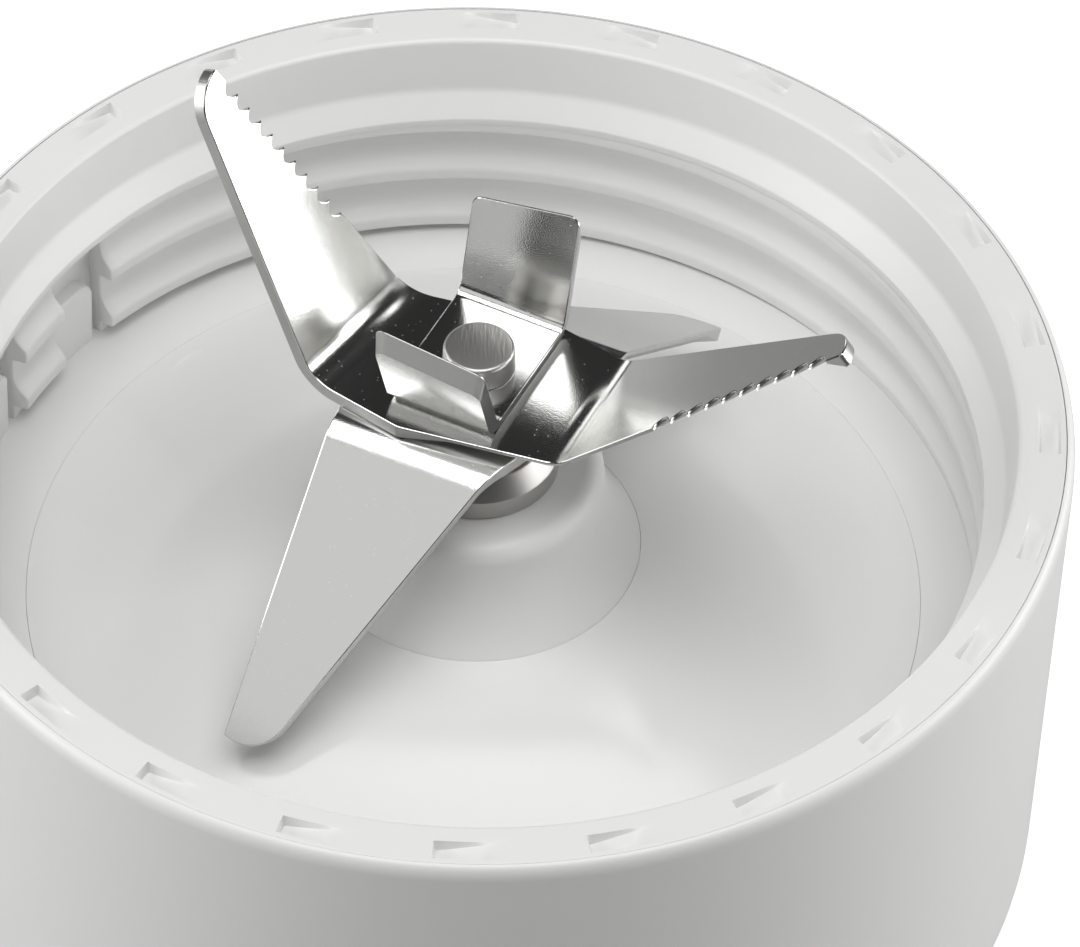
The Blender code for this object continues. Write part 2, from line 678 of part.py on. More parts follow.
def flats(name, low, high):
    """Two blocks either side of the shaft, which cut its two flats."""
    reach = 2 * SHAFT_RADIUS
    bm = bmesh.new()
    for side in (-1, 1):
        made = bmesh.ops.create_cube(bm, size=1.0)["verts"]
        bmesh.ops.scale(bm, verts=made, vec=(2 * reach, reach, high - low))
        shift = side * (TANG_FLAT + reach / 2)
        bmesh.ops.translate(bm, verts=made, vec=(0, shift, (low + high) / 2))
    bmesh.ops.rotate(bm, verts=bm.verts, matrix=Matrix.Rotation(TAB_AZIMUTH, 3, "Z"))
    mesh = bpy.data.meshes.new(name)
    bm.to_mesh(mesh)
    bm.free()
    return add_object(name, mesh, None)


def tang_hole(azimuth):
    """The shaft's two-flat section with its clearance, in a piece turned to this azimuth."""
    return double_d(SHAFT_FIT, TANG_FLAT + GAP, TAB_AZIMUTH - azimuth)


def sheet_piece(name, outline, low, folds, bends, radius, azimuth, skews=(0, 0)):
    """A flat outline cut from sheet and folded on two lines across its X, one each way.

    A skew turns a fold line from square."""
    obj = prism(name, [outline, tang_hole(azimuth)], low, low + SHEET, BLADE_STEEL, ROTOR)
    bm = bmesh.new()
    bm.from_mesh(obj.data)
    top = low + SHEET
    for side, fold, bend, skew in zip((1, -1), folds, bends, skews):
        outside = radius if bend > 0 else radius + SHEET
        half = outside * math.tan(abs(bend) / 2)
        across = Vector((math.cos(skew), math.sin(skew), 0))
        for step in range(BEND_STEPS + 1):
            place = side * (fold - half + 2 * half * step / BEND_STEPS)
            everything = [*bm.verts, *bm.edges, *bm.faces]
            bmesh.ops.bisect_plane(
                bm, geom=everything, dist=1e-7, plane_co=place * across, plane_no=across
            )
    for vert in bm.verts:
        side, which = (1, 0) if vert.co.x > 0 else (-1, 1)
        turn = Matrix.Rotation(skews[which], 3, "Z")
        flat = turn.inverted() @ vert.co
        along, height = folded(
            side * flat.x, top - flat.z, folds[which], bends[which], radius
        )
        vert.co = turn @ Vector((side * along, flat.y, top + height))
    bmesh.ops.rotate(bm, verts=bm.verts, matrix=Matrix.Rotation(azimuth, 3, "Z"))
    bmesh.ops.recalc_face_normals(bm, faces=bm.faces)
    bm.to_mesh(obj.data)
    bm.free()
    return obj


def folded(along, depth, fold, bend, radius):
    """Where a point of the flat sheet goes: its place along the arm, and height over the hub."""
    sign = 1 if bend > 0 else -1
    turn = abs(bend)
    top_radius = radius if sign > 0 else radius + SHEET
    half = top_radius * math.tan(turn / 2)
    if along <= fold - half:
        return along, -depth
    reach = top_radius + sign * depth
    if along < fold + half:
        angle = turn * (along - fold + half) / (2 * half)
        centre = sign * top_radius
        return fold - half + reach * math.sin(angle), centre - sign * reach * math.cos(angle)
    past = along - fold
    x = fold + past * math.cos(turn) + sign * depth * math.sin(turn)
    return x, sign * past * math.sin(turn) - depth * math.cos(turn)


def upper_blade():
    """Serrated pair: a straight back, and a toothed front that tapers to the tip."""
    slope = math.tan(UPPER_TAPER)

    def front(x):
        return UPPER_FRONT + x * slope

    tip = arc((UPPER_LENGTH - UPPER_TIP, UPPER_TIP_SIDE), UPPER_TIP, *UPPER_TIP_ARC, ARC_STEPS)
    first = UPPER_LENGTH - FIRST_TOOTH
    arm = tip + [(first, front(first))]
    for tooth in range(TEETH):
        peak = first - TOOTH_PITCH * (tooth + 1)
        valley = peak + TOOTH_PITCH * TOOTH_HOOK
        arm += [(valley, front(valley) + TOOTH_DEPTH), (peak, front(peak))]
    back_slope = math.tan(UPPER_BACK_TAPER)
    corner = (-UPPER_BACK - UPPER_FRONT) / (slope + back_slope)  # the other arm's back meets it
    arm += [(corner, front(corner))]
    sheet_piece("upper_blade", arm + opposite(arm), UPPER_Z, UPPER_FOLDS, UPPER_BENDS,
                BEND_RADIUS, UPPER_AZIMUTH, UPPER_SKEWS)


def lower_blade():
    """Smooth pair: a straight leading edge, and a back that tapers to a round tip."""
    slope = math.tan(LOWER_TAPER)
    centre = (LOWER_LENGTH - LOWER_TIP, -LOWER_EDGE + LOWER_TIP_SHIFT * LOWER_TIP)
    start = math.degrees(math.pi / 2 - LOWER_TAPER)
    end = -math.degrees(math.asin(LOWER_TIP_SHIFT))
    tip = arc(centre, LOWER_TIP, start, end, ARC_STEPS)
    hub = tip[0][0] + (LOWER_EDGE - tip[0][1]) / -slope
    arm = list(reversed(tip)) + [(hub, LOWER_EDGE)]
    sheet_piece("lower_blade", arm + opposite(arm), LOWER_Z, LOWER_FOLDS, LOWER_BENDS,
                BEND_RADIUS, LOWER_AZIMUTH)


def tab_blade():
    """Small plate whose two ends stand up as tabs."""
    right, left = TAB_SIDES
    outline = []
    for way, fold, ends in ((1, TAB_FOLDS[0], TAB_BACK_ENDS), (-1, TAB_FOLDS[1], TAB_FRONT_ENDS)):
        first, last = way * (fold + ends[0]), way * (fold + ends[1])
        corner = way * TAB_CORNER
        arm = [(first - corner, right), (first, right + TAB_CORNER)]
        arm += [(last, left - TAB_CORNER), (last - corner, left)]
        outline += arm[::way]
    sheet_piece("tab_blade", outline, TAB_Z, TAB_FOLDS, TAB_BENDS, TAB_BEND_RADIUS, TAB_AZIMUTH)


def spacers():
    ring("thrust_washer", SHAFT_FIT, SHAFT_FIT + THRUST_WIDTH, THRUST_Z, THRUST_Z + WASHER_THICK,
         FIBRE, parent=ROTOR)
    ring("blade_spacer", SHAFT_FIT, SHAFT_FIT + SPACER_WALL, SPACER_Z, LOWER_Z - GAP,
         TURNED_STEEL, parent=ROTOR)
    ring("lower_thrust_washer", SHAFT_FIT, SHAFT_FIT + THRUST_WIDTH, LOWER_THRUST_Z,
         LOWER_THRUST_Z + WASHER_THICK, FIBRE, parent=ROTOR)


# Drive


def circlip():
    gap = math.degrees(CLIP_SLOT)
    outer = arc((0, 0), SHAFT_RADIUS + CLIP_WIDTH, gap, 360 - gap, SMALL_STEPS)
    inner = arc((0, 0), SHAFT_RADIUS - GROOVE_DEPTH + RUN, 360 - gap, gap, SMALL_STEPS)
    prism("circlip", [outer + inner], CLIP_Z, CLIP_Z + CLIP_THICK, TURNED_STEEL, ROTOR)


def lobed_outline():
    """Star with rounded lobes, whose sides get steeper with COUPLING_SQUARENESS."""
    mean = (COUPLING_RADIUS + COUPLING_ROOT) / 2
    swing = (COUPLING_RADIUS - COUPLING_ROOT) / 2
    outline = []
    for step in range(WIDE_STEPS):
        turn = 2 * math.pi * step / WIDE_STEPS
        wave = math.tanh(COUPLING_SQUARENESS * math.cos(COUPLING_TEETH * turn))
        radius = mean + swing * wave / math.tanh(COUPLING_SQUARENESS)
        outline.append((radius * math.cos(turn), radius * math.sin(turn)))
    return outline


def drive_coupling():
    top = COUPLING_Z + COUPLING_HEIGHT
    socket = hexagon(INSERT_FLATS + 2 * GAP)
    prism("drive_coupling", [lobed_outline(), socket], COUPLING_Z, top, BLACK_NYLON, ROTOR)
    prism("coupling_insert", [hexagon(INSERT_FLATS), tang_hole(0)], COUPLING_Z, top,
          TURNED_STEEL, ROTOR)
    ring("coupling_washer", TAIL_FIT, TAIL_FIT + TAIL_WASHER_WIDTH, TAIL_WASHER_Z,
         TAIL_WASHER_Z + WASHER_THICK, TURNED_STEEL, parent=ROTOR)
    outlines = [hexagon(2 * (TAIL_FIT + TAIL_NUT_WALL)), circle(TAIL_FIT, SMALL_STEPS)]
    prism("coupling_nut", outlines, TAIL_NUT_Z, TAIL_NUT_Z + TAIL_NUT_HEIGHT, TURNED_STEEL, ROTOR)


outer_shell()
threaded_cup()
jar_gasket()
for screw_number, screw_angle in enumerate(screw_angles(), 1):
    case_screw(screw_number, screw_angle)
bearing_boss()
boss_o_ring()
bearing_sleeve()
bearings()
clamp()
blade_shaft()
spacers()
lower_blade()
upper_blade()
tab_blade()
circlip()
drive_coupling()
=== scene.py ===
"""Screw-on blade unit of a countertop blender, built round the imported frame."""

import math

import bmesh
import bpy
from mathutils import Matrix, Vector


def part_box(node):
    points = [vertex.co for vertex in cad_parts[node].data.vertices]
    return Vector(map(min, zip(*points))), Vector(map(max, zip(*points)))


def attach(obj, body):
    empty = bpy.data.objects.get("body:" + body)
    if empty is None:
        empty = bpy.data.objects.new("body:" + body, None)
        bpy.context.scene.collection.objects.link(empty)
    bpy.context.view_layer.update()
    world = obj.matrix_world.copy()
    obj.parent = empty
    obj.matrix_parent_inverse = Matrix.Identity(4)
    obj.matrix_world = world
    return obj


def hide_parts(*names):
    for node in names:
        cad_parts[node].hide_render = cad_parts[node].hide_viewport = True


bl_info = {
    "name": "Blade Unit",
    "version": (1, 0, 0),
    "blender": (4, 5, 0),
    "location": "3D View > Sidebar > Blade Unit",
    "description": "Builds a screw-on blade unit: holder, bearing, blades and drive",
    "category": "Add Mesh",
}

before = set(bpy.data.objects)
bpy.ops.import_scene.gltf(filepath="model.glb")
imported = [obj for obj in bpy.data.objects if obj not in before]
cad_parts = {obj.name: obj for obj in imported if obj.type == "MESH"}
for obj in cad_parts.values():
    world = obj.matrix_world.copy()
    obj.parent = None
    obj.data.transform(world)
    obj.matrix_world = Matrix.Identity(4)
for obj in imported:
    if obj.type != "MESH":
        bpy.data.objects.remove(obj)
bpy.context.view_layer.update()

MM = 0.001
X, Z = 0, 2


def low(node, axis=Z):
    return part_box(node)[0][axis]


def high(node, axis=Z):
    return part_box(node)[1][axis]


# Places read from the frame
RIM_Z = high("threaded_cup")
SHELL_RADIUS = high("outer_shell", X)
SEAT_Z = high("jar_gasket")
FLANGE_EDGE = high("threaded_cup", X)
GASKET_LOW = low("jar_gasket")
GASKET_OUTER = high("jar_gasket", X)
BOSS_TOP = high("bearing_boss")
BOSS_FOOT = high("bearing_boss", X)
FLANGE_RADIUS = high("bearing_sleeve", X)
HEAD_TOP = high("blade_shaft")
SHAFT_END = low("blade_shaft")

# Fineness
WIDE_STEPS = 288  # facets round the shell
MID_STEPS = 144
FINE_STEPS = 72
ARC_STEP = math.radians(12)  # the most that a rounded corner turns at each facet
BEND_STEPS = 24
SLIT = 0.05 * MM  # what shows of a close joint

# Small sizes that nobody would change by themselves
SCREW_HOLE = 1.7 * MM
COUNTERBORE = 2.0 * MM
KEY_REACH = 12  # degrees to each side of a key notch's middle
STEM_INSET = 4.5 * MM  # from the boss's foot in to the stem that goes through the floor
THREAD_ROOTED = 1.3 * MM  # how far the thread's stretches go back into the wall
END_EASE = 0.15 * MM  # softness of the thread's square ends
TANG_RADIUS = 2.7 * MM
TANG_FLAT = 2.0 * MM
SHAFT_RADIUS = 2.5 * MM
HEAD_HEIGHT = 2.15 * MM
CIRCLIP_GROOVE = (0.85 * MM, 0.4 * MM)  # its width and depth
TAIL_STEP = 0.5 * MM
GULLET_LOW = 0.37  # where a gullet is deepest, as a share of the pitch from its hub side
POINT_WIDTH = 0.75 * MM  # flat at a serrated arm's end, before its tip rounds
SMOOTH_TIP_SHIFT = 0.42  # how far the tip's centre lies in from the edge, in tip radii
SMOOTH_GRIND = 0.8 * MM
SMOOTH_GROUND_FROM = 9 * MM


# Sizes and colours that a user would change


def length(name, description, millimetres):
    return bpy.props.FloatProperty(
        name=name, description=description, default=millimetres * MM, unit="LENGTH", precision=5
    )


def angle(name, description, degrees):
    return bpy.props.FloatProperty(
        name=name, description=description, default=math.radians(degrees), subtype="ANGLE"
    )


def number(name, description, default):
    return bpy.props.IntProperty(name=name, description=description, default=default, min=1)


def factor(name, description, default):
    return bpy.props.FloatProperty(name=name, description=description, default=default, min=0)


def hex_colour(name, description, default):
    return bpy.props.StringProperty(name=name, description=description, default=default)


class HolderSizes(bpy.types.PropertyGroup):
    """Sizes of the white mouldings."""

    shell_wall: length("Shell wall", "Thickness of the outer wall", 2.4)
    shell_draft: angle("Shell draft", "Taper of the outer wall", 1.2)
    shell_round: length("Foot radius", "Radius where the wall turns under", 8.0)
    bottom_plate: length("Bottom plate", "Thickness of the bottom", 3.2)
    bottom_opening: length("Bottom opening", "Radius of the opening for the drive", 21.0)
    key_notch: length("Key notch", "Depth of the notches in the opening", 2.5)
    key_notches: number("Key notches", "How many notches the opening has", 3)
    lip_width: length("Lip width", "How far the outer edge rounds inwards", 0.7)
    lip_height: length("Lip height", "How far the outer edge rounds down", 1.4)
    rim_width: length("Rim width", "From the outer edge to the bore", 4.6)
    rim_thick: length("Rim thickness", "Thickness of the rim's flange", 3.0)
    case_gap: length("Case gap", "Between the outer wall and the cup", 1.2)
    cup_wall: length("Cup wall", "Thickness of the cup behind the thread", 2.0)
    pilot_depth: length("Pilot depth", "Height of the smooth band over the thread", 5.0)
    pilot_taper: length("Pilot taper", "How much the smooth band narrows", 0.7)
    shoulder_depth: length("Shoulder depth", "From the rim to the shoulder's underside", 7.6)
    shoulder_land: length("Shoulder land", "Height of the shoulder's upright face", 0.7)
    well: length("Well", "How far the wall is set back where the thread is left out", 1.2)
    seat_groove: length("Seat groove", "Depth of the groove that holds the gasket", 2.0)
    gasket_width: length("Gasket width", "Radial width of the gasket", 5.6)
    dish_rise: length("Dish rise", "Height of the domed floor over the gasket", 5.8)
    dish_swell: factor("Dish swell", "Above 1, the dome's edge lies flatter", 1.15)
    floor_thick: length("Floor", "Thickness of the floor", 2.2)
    fit: length("Fit", "Gap between pieces that touch", 0.2)


class ScrewSizes(bpy.types.PropertyGroup):
    """Sizes of the case screws and their posts."""

    head_height: length("Head height", "Height of a screw's head", 1.6)
    shank: length("Shank", "Radius of a screw's shank", 1.5)
    socket: length("Socket", "Across the flats of the hexagonal socket", 2.5)
    socket_depth: length("Socket depth", "Depth of that socket", 1.0)
    post: length("Post", "Radius of the post that a screw goes into", 3.6)
    spare: length("Spare hole", "How far a post's hole goes past the screw", 1.0)


class PocketSizes(bpy.types.PropertyGroup):
    """Sizes of the ramped pockets in the rim."""

    count: number("Count", "How many pockets the rim has", 24)
    width: length("Width", "Radial width of a pocket", 1.4)
    depth: length("Depth", "Depth at a pocket's steep end", 1.0)
    run: length("Length", "Length of a pocket along the rim", 4.8)
    inset: length("Inset", "From the flange's edge to a pocket", 0.5)
    edge: length("Edge", "Softness of a pocket's edges", 0.18)
    start: angle("Start", "Azimuth of the first steep end", -3.4)


class ThreadSizes(bpy.types.PropertyGroup):
    """Sizes of the interrupted inner thread."""

    depth: length("Depth", "Height of a ridge over the root", 1.35)
    pitch: length("Pitch", "From one ridge to the next", 5.5)
    first: length("First ridge", "From the rim to the first ridge's lower edge", 8.65)
    start: angle("Start", "Azimuth where the first ridge begins", 135.0)
    flank: length("Lower flank", "Height taken by a ridge's lower side", 0.15)
    face: length("Face", "Height of a ridge's face", 1.15)
    slope: length("Slope", "Height taken by a ridge's upper side", 1.35)
    break_start: angle("Break start", "Azimuth of the first break", 138.6)
    break_width: angle("Break width", "Length of a break", 8.3)
    break_pitch: angle("Break pitch", "From one break to the next", 16.7)
    breaks: number("Breaks", "How many breaks each side has", 3)
    block_drop: length("Block drop", "From the rim to the top of the block in a break", 13.4)
    block_slot: length("Block slot", "Gap between that block and the thread", 0.9)
    block_round: length("Block round", "Radius of that block's corner", 1.6)


class BearingSizes(bpy.types.PropertyGroup):
    """Sizes of the boss and of the sleeve in it."""

    flare: length("Flare", "How far the boss's foot spreads", 3.1)
    flare_power: factor("Flare power", "How suddenly the foot spreads", 2.2)
    shoulder: length("Shoulder", "Radius of the boss's upper edge", 1.6)
    sleeve_radius: length("Sleeve radius", "Outer radius of the sleeve", 5.6)
    sleeve_wall: length("Sleeve wall", "Thickness of the sleeve", 1.4)
    sleeve_side: length("Sleeve side", "Height of the flange's upright side", 1.8)


class BladeSizes(bpy.types.PropertyGroup):
    """Sizes shared by the three blades, and those of each."""

    sheet: length("Sheet", "Thickness of the steel", 1.2)
    edge: length("Edge", "Radius left on the sheared edges", 0.1)
    bend: length("Bend radius", "Inner radius of the long arms' bends", 3.0)
    upper_azimuth: angle("Serrated blade", "Azimuth of the steeper serrated arm", 146.7)
    upper_fold: length("Steep fold", "From the shaft to the steep arm's fold", 10.13)
    upper_bend: angle("Steep bend", "Bend of the steep arm", 65.0)
    upper_skew: angle("Steep skew", "Turn of its fold from square", -2.5)
    upper_fold_2: length("Shallow fold", "From the shaft to the shallow arm's fold", 9.75)
    upper_bend_2: angle("Shallow bend", "Bend of the shallow arm", 40.6)
    upper_skew_2: angle("Shallow skew", "Turn of its fold from square", 8.2)
    upper_length: length("Serrated length", "Flat length of a serrated arm", 38.28)
    upper_back: length("Serrated back", "Where the back's line passes the shaft", 8.47)
    upper_back_taper: angle("Back taper", "Slope of the back", 2.5)
    upper_front: length("Serrated front", "Where the toothed line passes the shaft", -7.74)
    upper_taper: angle("Serrated taper", "Slope of the toothed line", 16.86)
    upper_tip: length("Serrated tip", "Radius of the tip", 3.5)
    upper_hub_round: length("Hub corner", "Radius of the hub's corners", 1.5)
    grind: length("Grind", "Width ground away under the toothed edge", 2.4)
    teeth: number("Teeth", "How many teeth an arm has", 10)
    first_tooth: length("First tooth", "From the tip to the first gullet", 1.55)
    tooth_pitch: length("Tooth pitch", "From one tooth to the next", 1.67)
    tooth_depth: length("Tooth depth", "Depth of a gullet", 0.88)
    lower_azimuth: angle("Smooth blade", "Azimuth of the smooth blade's front arm", 246.0)
    lower_fold: length("Smooth fold", "From the shaft to the fold", 8.6)
    lower_front: angle("Front bend", "Bend of the front arm", -42.3)
    lower_rear: angle("Rear bend", "Bend of the rear arm", -38.3)
    lower_length: length("Smooth length", "Flat length of a smooth arm", 35.2)
    lower_edge: length("Smooth edge", "From the shaft's line to the straight edge", 9.0)
    lower_tip: length("Smooth tip", "Radius of the tip", 3.3)
    lower_taper: angle("Smooth taper", "Slope of the arm's back", 21.2)
    tab_azimuth: angle("Tab plate", "Azimuth of the tab plate", 63.9)
    tab_fold: length("Rear tab fold", "From the shaft to the rear tab's fold", 6.71)
    tab_bend: angle("Rear tab bend", "Bend of the rear tab", 76.4)
    tab_fold_2: length("Front tab fold", "From the shaft to the front tab's fold", 4.9)
    tab_bend_2: angle("Front tab bend", "Bend of the front tab", 71.1)
    tab_radius: length("Tab radius", "Inner radius of the tabs' bends", 1.0)
    tab_right: length("Right side", "The plate's right side, from the shaft's line", -4.24)
    tab_left: length("Left side", "The plate's left side, from the shaft's line", 5.18)
    tab_rear_right: length("Rear tab, right", "Flat height of its right side", 10.62)
    tab_rear_left: length("Rear tab, left", "Flat height of its left side", 9.07)
    tab_front_right: length("Front tab, right", "Flat height of its right side", 7.95)
    tab_front_left: length("Front tab, left", "Flat height of its left side", 9.68)
    tab_corner: length("Tab corner", "Radius of a tab's corners", 0.9)
    tab_grind: length("Tab grind", "Length ground away outside a tab's end", 1.7)


class Finishes(bpy.types.PropertyGroup):
    """Colours, as hex codes."""

    abs_white: hex_colour("ABS", "Moulded plastic", "#e6e6e5")
    silicone_white: hex_colour("Silicone", "Gasket", "#e4e4e2")
    stainless: hex_colour("Stainless", "Blades", "#dcdcda")
    sheared: hex_colour("Sheared edge", "Cut edges of the blades", "#c4c4c2")
    turned: hex_colour("Turned steel", "Shaft, sleeve and nuts", "#b9b8b5")
    bronze: hex_colour("Bronze", "Bushes", "#a8743f")
    nitrile: hex_colour("Nitrile", "Seals", "#1b1b1c")
    fibre: hex_colour("Fibre", "Thrust washers", "#8c6a48")
    nylon: hex_colour("Nylon", "Coupling", "#232325")
    floor_pale: hex_colour("Floor", "Stage floor", "#f2f2f2")


GROUPS = {
    "unit_holder": HolderSizes,
    "unit_screws": ScrewSizes,
    "unit_pockets": PocketSizes,
    "unit_thread": ThreadSizes,
    "unit_bearing": BearingSizes,
    "unit_blades": BladeSizes,
    "unit_finishes": Finishes,
}


# Materials

# Widths of the patterns, in millimetres
GLOSS_PATCH = 16.7
POLISH_GRAIN = 0.11
PIT_SPACING = 0.625
TEAR_LENGTHS = (0.2, 0.2, 1.43)  # along X, Y and Z: the tears stand upright
STREAK_LENGTHS = (0.22, 1.67, 1.0)
PORE_WIDTH = 0.2
BOARD_GRAIN = 2.0
TOOL_RINGS = 2.2  # the lathe tool's rings to each millimetre, as the Wave node counts them


def linear(code):
    """Linear RGBA of an sRGB hex code."""
    shares = [int(code[i : i + 2], 16) / 255 for i in (1, 3, 5)]
    return (*[c / 12.92 if c <= 0.04045 else ((c + 0.055) / 1.055) ** 2.4 for c in shares], 1.0)


def add_node(tree, kind, inputs=None, **settings):
    """Adds a node, with its settings, and with a value or a link for each input named or numbered."""
    node = tree.nodes.new(kind)
    for name, value in settings.items():
        setattr(node, name, value)
    for key, value in (inputs or {}).items():
        if isinstance(value, bpy.types.NodeSocket):
            tree.links.new(value, node.inputs[key])
        else:
            node.inputs[key].default_value = value
    return node


def new_surface(name, colour, roughness, metallic=0.0, **shader_inputs):
    """An empty material with its Principled shader, and the coordinates in millimetres."""
    made = bpy.data.materials.new(name)
    made.use_nodes = True
    tree = made.node_tree
    tree.nodes.clear()
    values = {"Base Color": linear(colour), "Roughness": roughness, "Metallic": metallic}
    shader = add_node(tree, "ShaderNodeBsdfPrincipled", {**values, **shader_inputs})
    add_node(tree, "ShaderNodeOutputMaterial", {"Surface": shader.outputs[0]})
    place = add_node(tree, "ShaderNodeTexCoord").outputs["Object"]
    scaled = add_node(
        tree, "ShaderNodeVectorMath", {0: place, 1: (1 / MM,) * 3}, operation="MULTIPLY"
    )
    return made, tree, shader, scaled.outputs[0]


def moulded(name, colour, roughness, grain, relief, **shader_inputs):
    """Moulded plastic or rubber: a fine even grain from the mould, and a slightly uneven gloss.

    The grain's width and relief are in millimetres."""
    made, tree, shader, place = new_surface(name, colour, roughness, **shader_inputs)
    fine = add_node(tree, "ShaderNodeTexNoise", {"Vector": place, "Scale": 1 / grain, "Detail": 2.0})
    bump = add_node(
        tree, "ShaderNodeBump", {"Strength": 0.5, "Distance": relief * MM, "Height": fine.outputs[0]}
    )
    tree.links.new(bump.outputs[0], shader.inputs["Normal"])
    patches = add_node(
        tree, "ShaderNodeTexNoise", {"Vector": place, "Scale": 1 / GLOSS_PATCH, "Detail": 3.0}
    )
    gloss = add_node(
        tree,
        "ShaderNodeMapRange",
        {"Value": patches.outputs[0], "From Min": 0.3, "From Max": 0.7,
         "To Min": roughness * 0.9, "To Max": roughness * 1.1},
    )
    tree.links.new(gloss.outputs[0], shader.inputs["Roughness"])
    return made


def moulded_abs():
    """ABS moulded in a lightly grained tool: satin white, with soft broad highlights."""
    return moulded("Moulded ABS", finishes().abs_white, 0.42, 0.45, 0.004, IOR=1.53)


def polished_abs():
    """ABS moulded against a polished tool: glossy enough to mirror the blades softly."""
    return moulded("Polished ABS", finishes().abs_white, 0.16, 1.25, 0.004, IOR=1.53)


def moulded_silicone():
    """Silicone rubber: a touch warmer and duller than the ABS beside it."""
    return moulded("Moulded silicone", finishes().silicone_white, 0.5, 0.33, 0.004, IOR=1.43)


def polished_stainless():
    """Stainless sheet, mirror-polished before stamping: near-mirror, with a fine sparkle of pits
    that breaks up the edges of its reflections."""
    made, tree, shader, place = new_surface(
        "Polished stainless sheet", finishes().stainless, 0.14, 1.0
    )
    # Real polishing grain is finer than this: it is drawn this coarse so that it shows.
    grain = add_node(
        tree, "ShaderNodeTexNoise", {"Vector": place, "Scale": 1 / POLISH_GRAIN, "Detail": 1.0}
    )
    bump = add_node(
        tree, "ShaderNodeBump", {"Strength": 1.0, "Distance": 0.006 * MM, "Height": grain.outputs[0]}
    )
    tree.links.new(bump.outputs[0], shader.inputs["Normal"])
    pits = add_node(tree, "ShaderNodeTexVoronoi", {"Vector": place, "Scale": 1 / PIT_SPACING})
    dots = add_node(
        tree,
        "ShaderNodeMapRange",
        {"Value": pits.outputs["Distance"], "From Min": 0.05, "From Max": 0.09,
         "To Min": 0.5, "To Max": 0.14},
    )
    tree.links.new(dots.outputs[0], shader.inputs["Roughness"])
    return made


def sheared_stainless():
    """The cut edge of the sheet: torn into fine upright striations, brighter and rougher."""
    made, tree, shader, place = new_surface(
        "Sheared stainless edge", finishes().sheared, 0.34, 1.0
    )
    stretched = add_node(
        tree, "ShaderNodeVectorMath", {0: place, 1: TEAR_LENGTHS}, operation="DIVIDE"
    )
    tears = add_node(
        tree, "ShaderNodeTexNoise", {"Vector": stretched.outputs[0], "Scale": 1.0, "Detail": 3.0}
    )
    bump = add_node(
        tree, "ShaderNodeBump", {"Strength": 1.0, "Distance": 0.02 * MM, "Height": tears.outputs[0]}
    )
    tree.links.new(bump.outputs[0], shader.inputs["Normal"])
    return made


def turned_steel():
    """Steel turned on a lathe: satin, with fine rings round its axis."""
    made, tree, shader, place = new_surface("Turned steel", finishes().turned, 0.42, 1.0)
    rings = add_node(
        tree,
        "ShaderNodeTexWave",
        {"Vector": place, "Scale": TOOL_RINGS, "Distortion": 0.6, "Detail": 2.0,
         "Detail Scale": 3.0},
        wave_type="RINGS",
        rings_direction="Z",
    )
    bump = add_node(
        tree, "ShaderNodeBump", {"Strength": 0.5, "Distance": 0.004 * MM, "Height": rings.outputs[0]}
    )
    tree.links.new(bump.outputs[0], shader.inputs["Normal"])
    return made


def peened_steel():
    """The shaft's riveted head: smeared by the peening tool into short parallel streaks."""
    made, tree, shader, place = new_surface("Peened steel", finishes().turned, 0.4, 1.0)
    streaks = add_node(
        tree, "ShaderNodeVectorMath", {0: place, 1: STREAK_LENGTHS}, operation="DIVIDE"
    )
    noise = add_node(
        tree, "ShaderNodeTexNoise", {"Vector": streaks.outputs[0], "Scale": 1.0, "Detail": 3.0}
    )
    bump = add_node(
        tree, "ShaderNodeBump", {"Strength": 1.0, "Distance": 0.03 * MM, "Height": noise.outputs[0]}
    )
    tree.links.new(bump.outputs[0], shader.inputs["Normal"])
    return made


def sintered_bronze():
    """Bronze powder pressed and sintered: dull brown metal, full of fine pores."""
    made, tree, shader, place = new_surface("Sintered bronze", finishes().bronze, 0.45, 1.0)
    pores = add_node(
        tree, "ShaderNodeTexNoise", {"Vector": place, "Scale": 1 / PORE_WIDTH, "Detail": 3.0}
    )
    bump = add_node(
        tree, "ShaderNodeBump", {"Strength": 0.8, "Distance": 0.02 * MM, "Height": pores.outputs[0]}
    )
    tree.links.new(bump.outputs[0], shader.inputs["Normal"])
    return made


def nitrile_rubber():
    """Nitrile rubber: near black and dull."""
    return moulded("Nitrile rubber", finishes().nitrile, 0.62, 0.33, 0.01)


def pressed_fibre():
    """Vulcanised fibre: brown sheet with a short papery grain."""
    return moulded("Pressed fibre", finishes().fibre, 0.7, 0.4, 0.03)


def glass_filled_nylon():
    """Glass-filled nylon: charcoal, with a faint speckle of fibres at its surface."""
    return moulded("Glass-filled nylon", finishes().nylon, 0.48, 0.33, 0.02)


def stage_floor():
    """Pale seamless board, lit from above until it is nearly white to the eye."""
    made, tree, shader, place = new_surface("Pale board", finishes().floor_pale, 0.8)
    fibres = add_node(
        tree, "ShaderNodeTexNoise", {"Vector": place, "Scale": 1 / BOARD_GRAIN, "Detail": 2.0}
    )
    bump = add_node(
        tree, "ShaderNodeBump", {"Strength": 0.1, "Distance": 0.02 * MM, "Height": fibres.outputs[0]}
    )
    tree.links.new(bump.outputs[0], shader.inputs["Normal"])
    seen = add_node(tree, "ShaderNodeLightPath").outputs["Is Camera Ray"]
    # Less light comes back off the board than its look suggests, so the wall's foot stays darker.
    grey = add_node(
        tree, "ShaderNodeMapRange", {"Value": seen, "To Min": FLOOR_BOUNCE, "To Max": 0.9}
    )
    tree.links.new(grey.outputs[0], shader.inputs["Base Color"])
    glow = add_node(tree, "ShaderNodeMath", {0: seen, 1: FLOOR_LIFT}, operation="MULTIPLY")
    shader.inputs["Emission Color"].default_value = (1.0, 1.0, 1.0, 1.0)
    tree.links.new(glow.outputs[0], shader.inputs["Emission Strength"])
    return made


SURFACES = {}


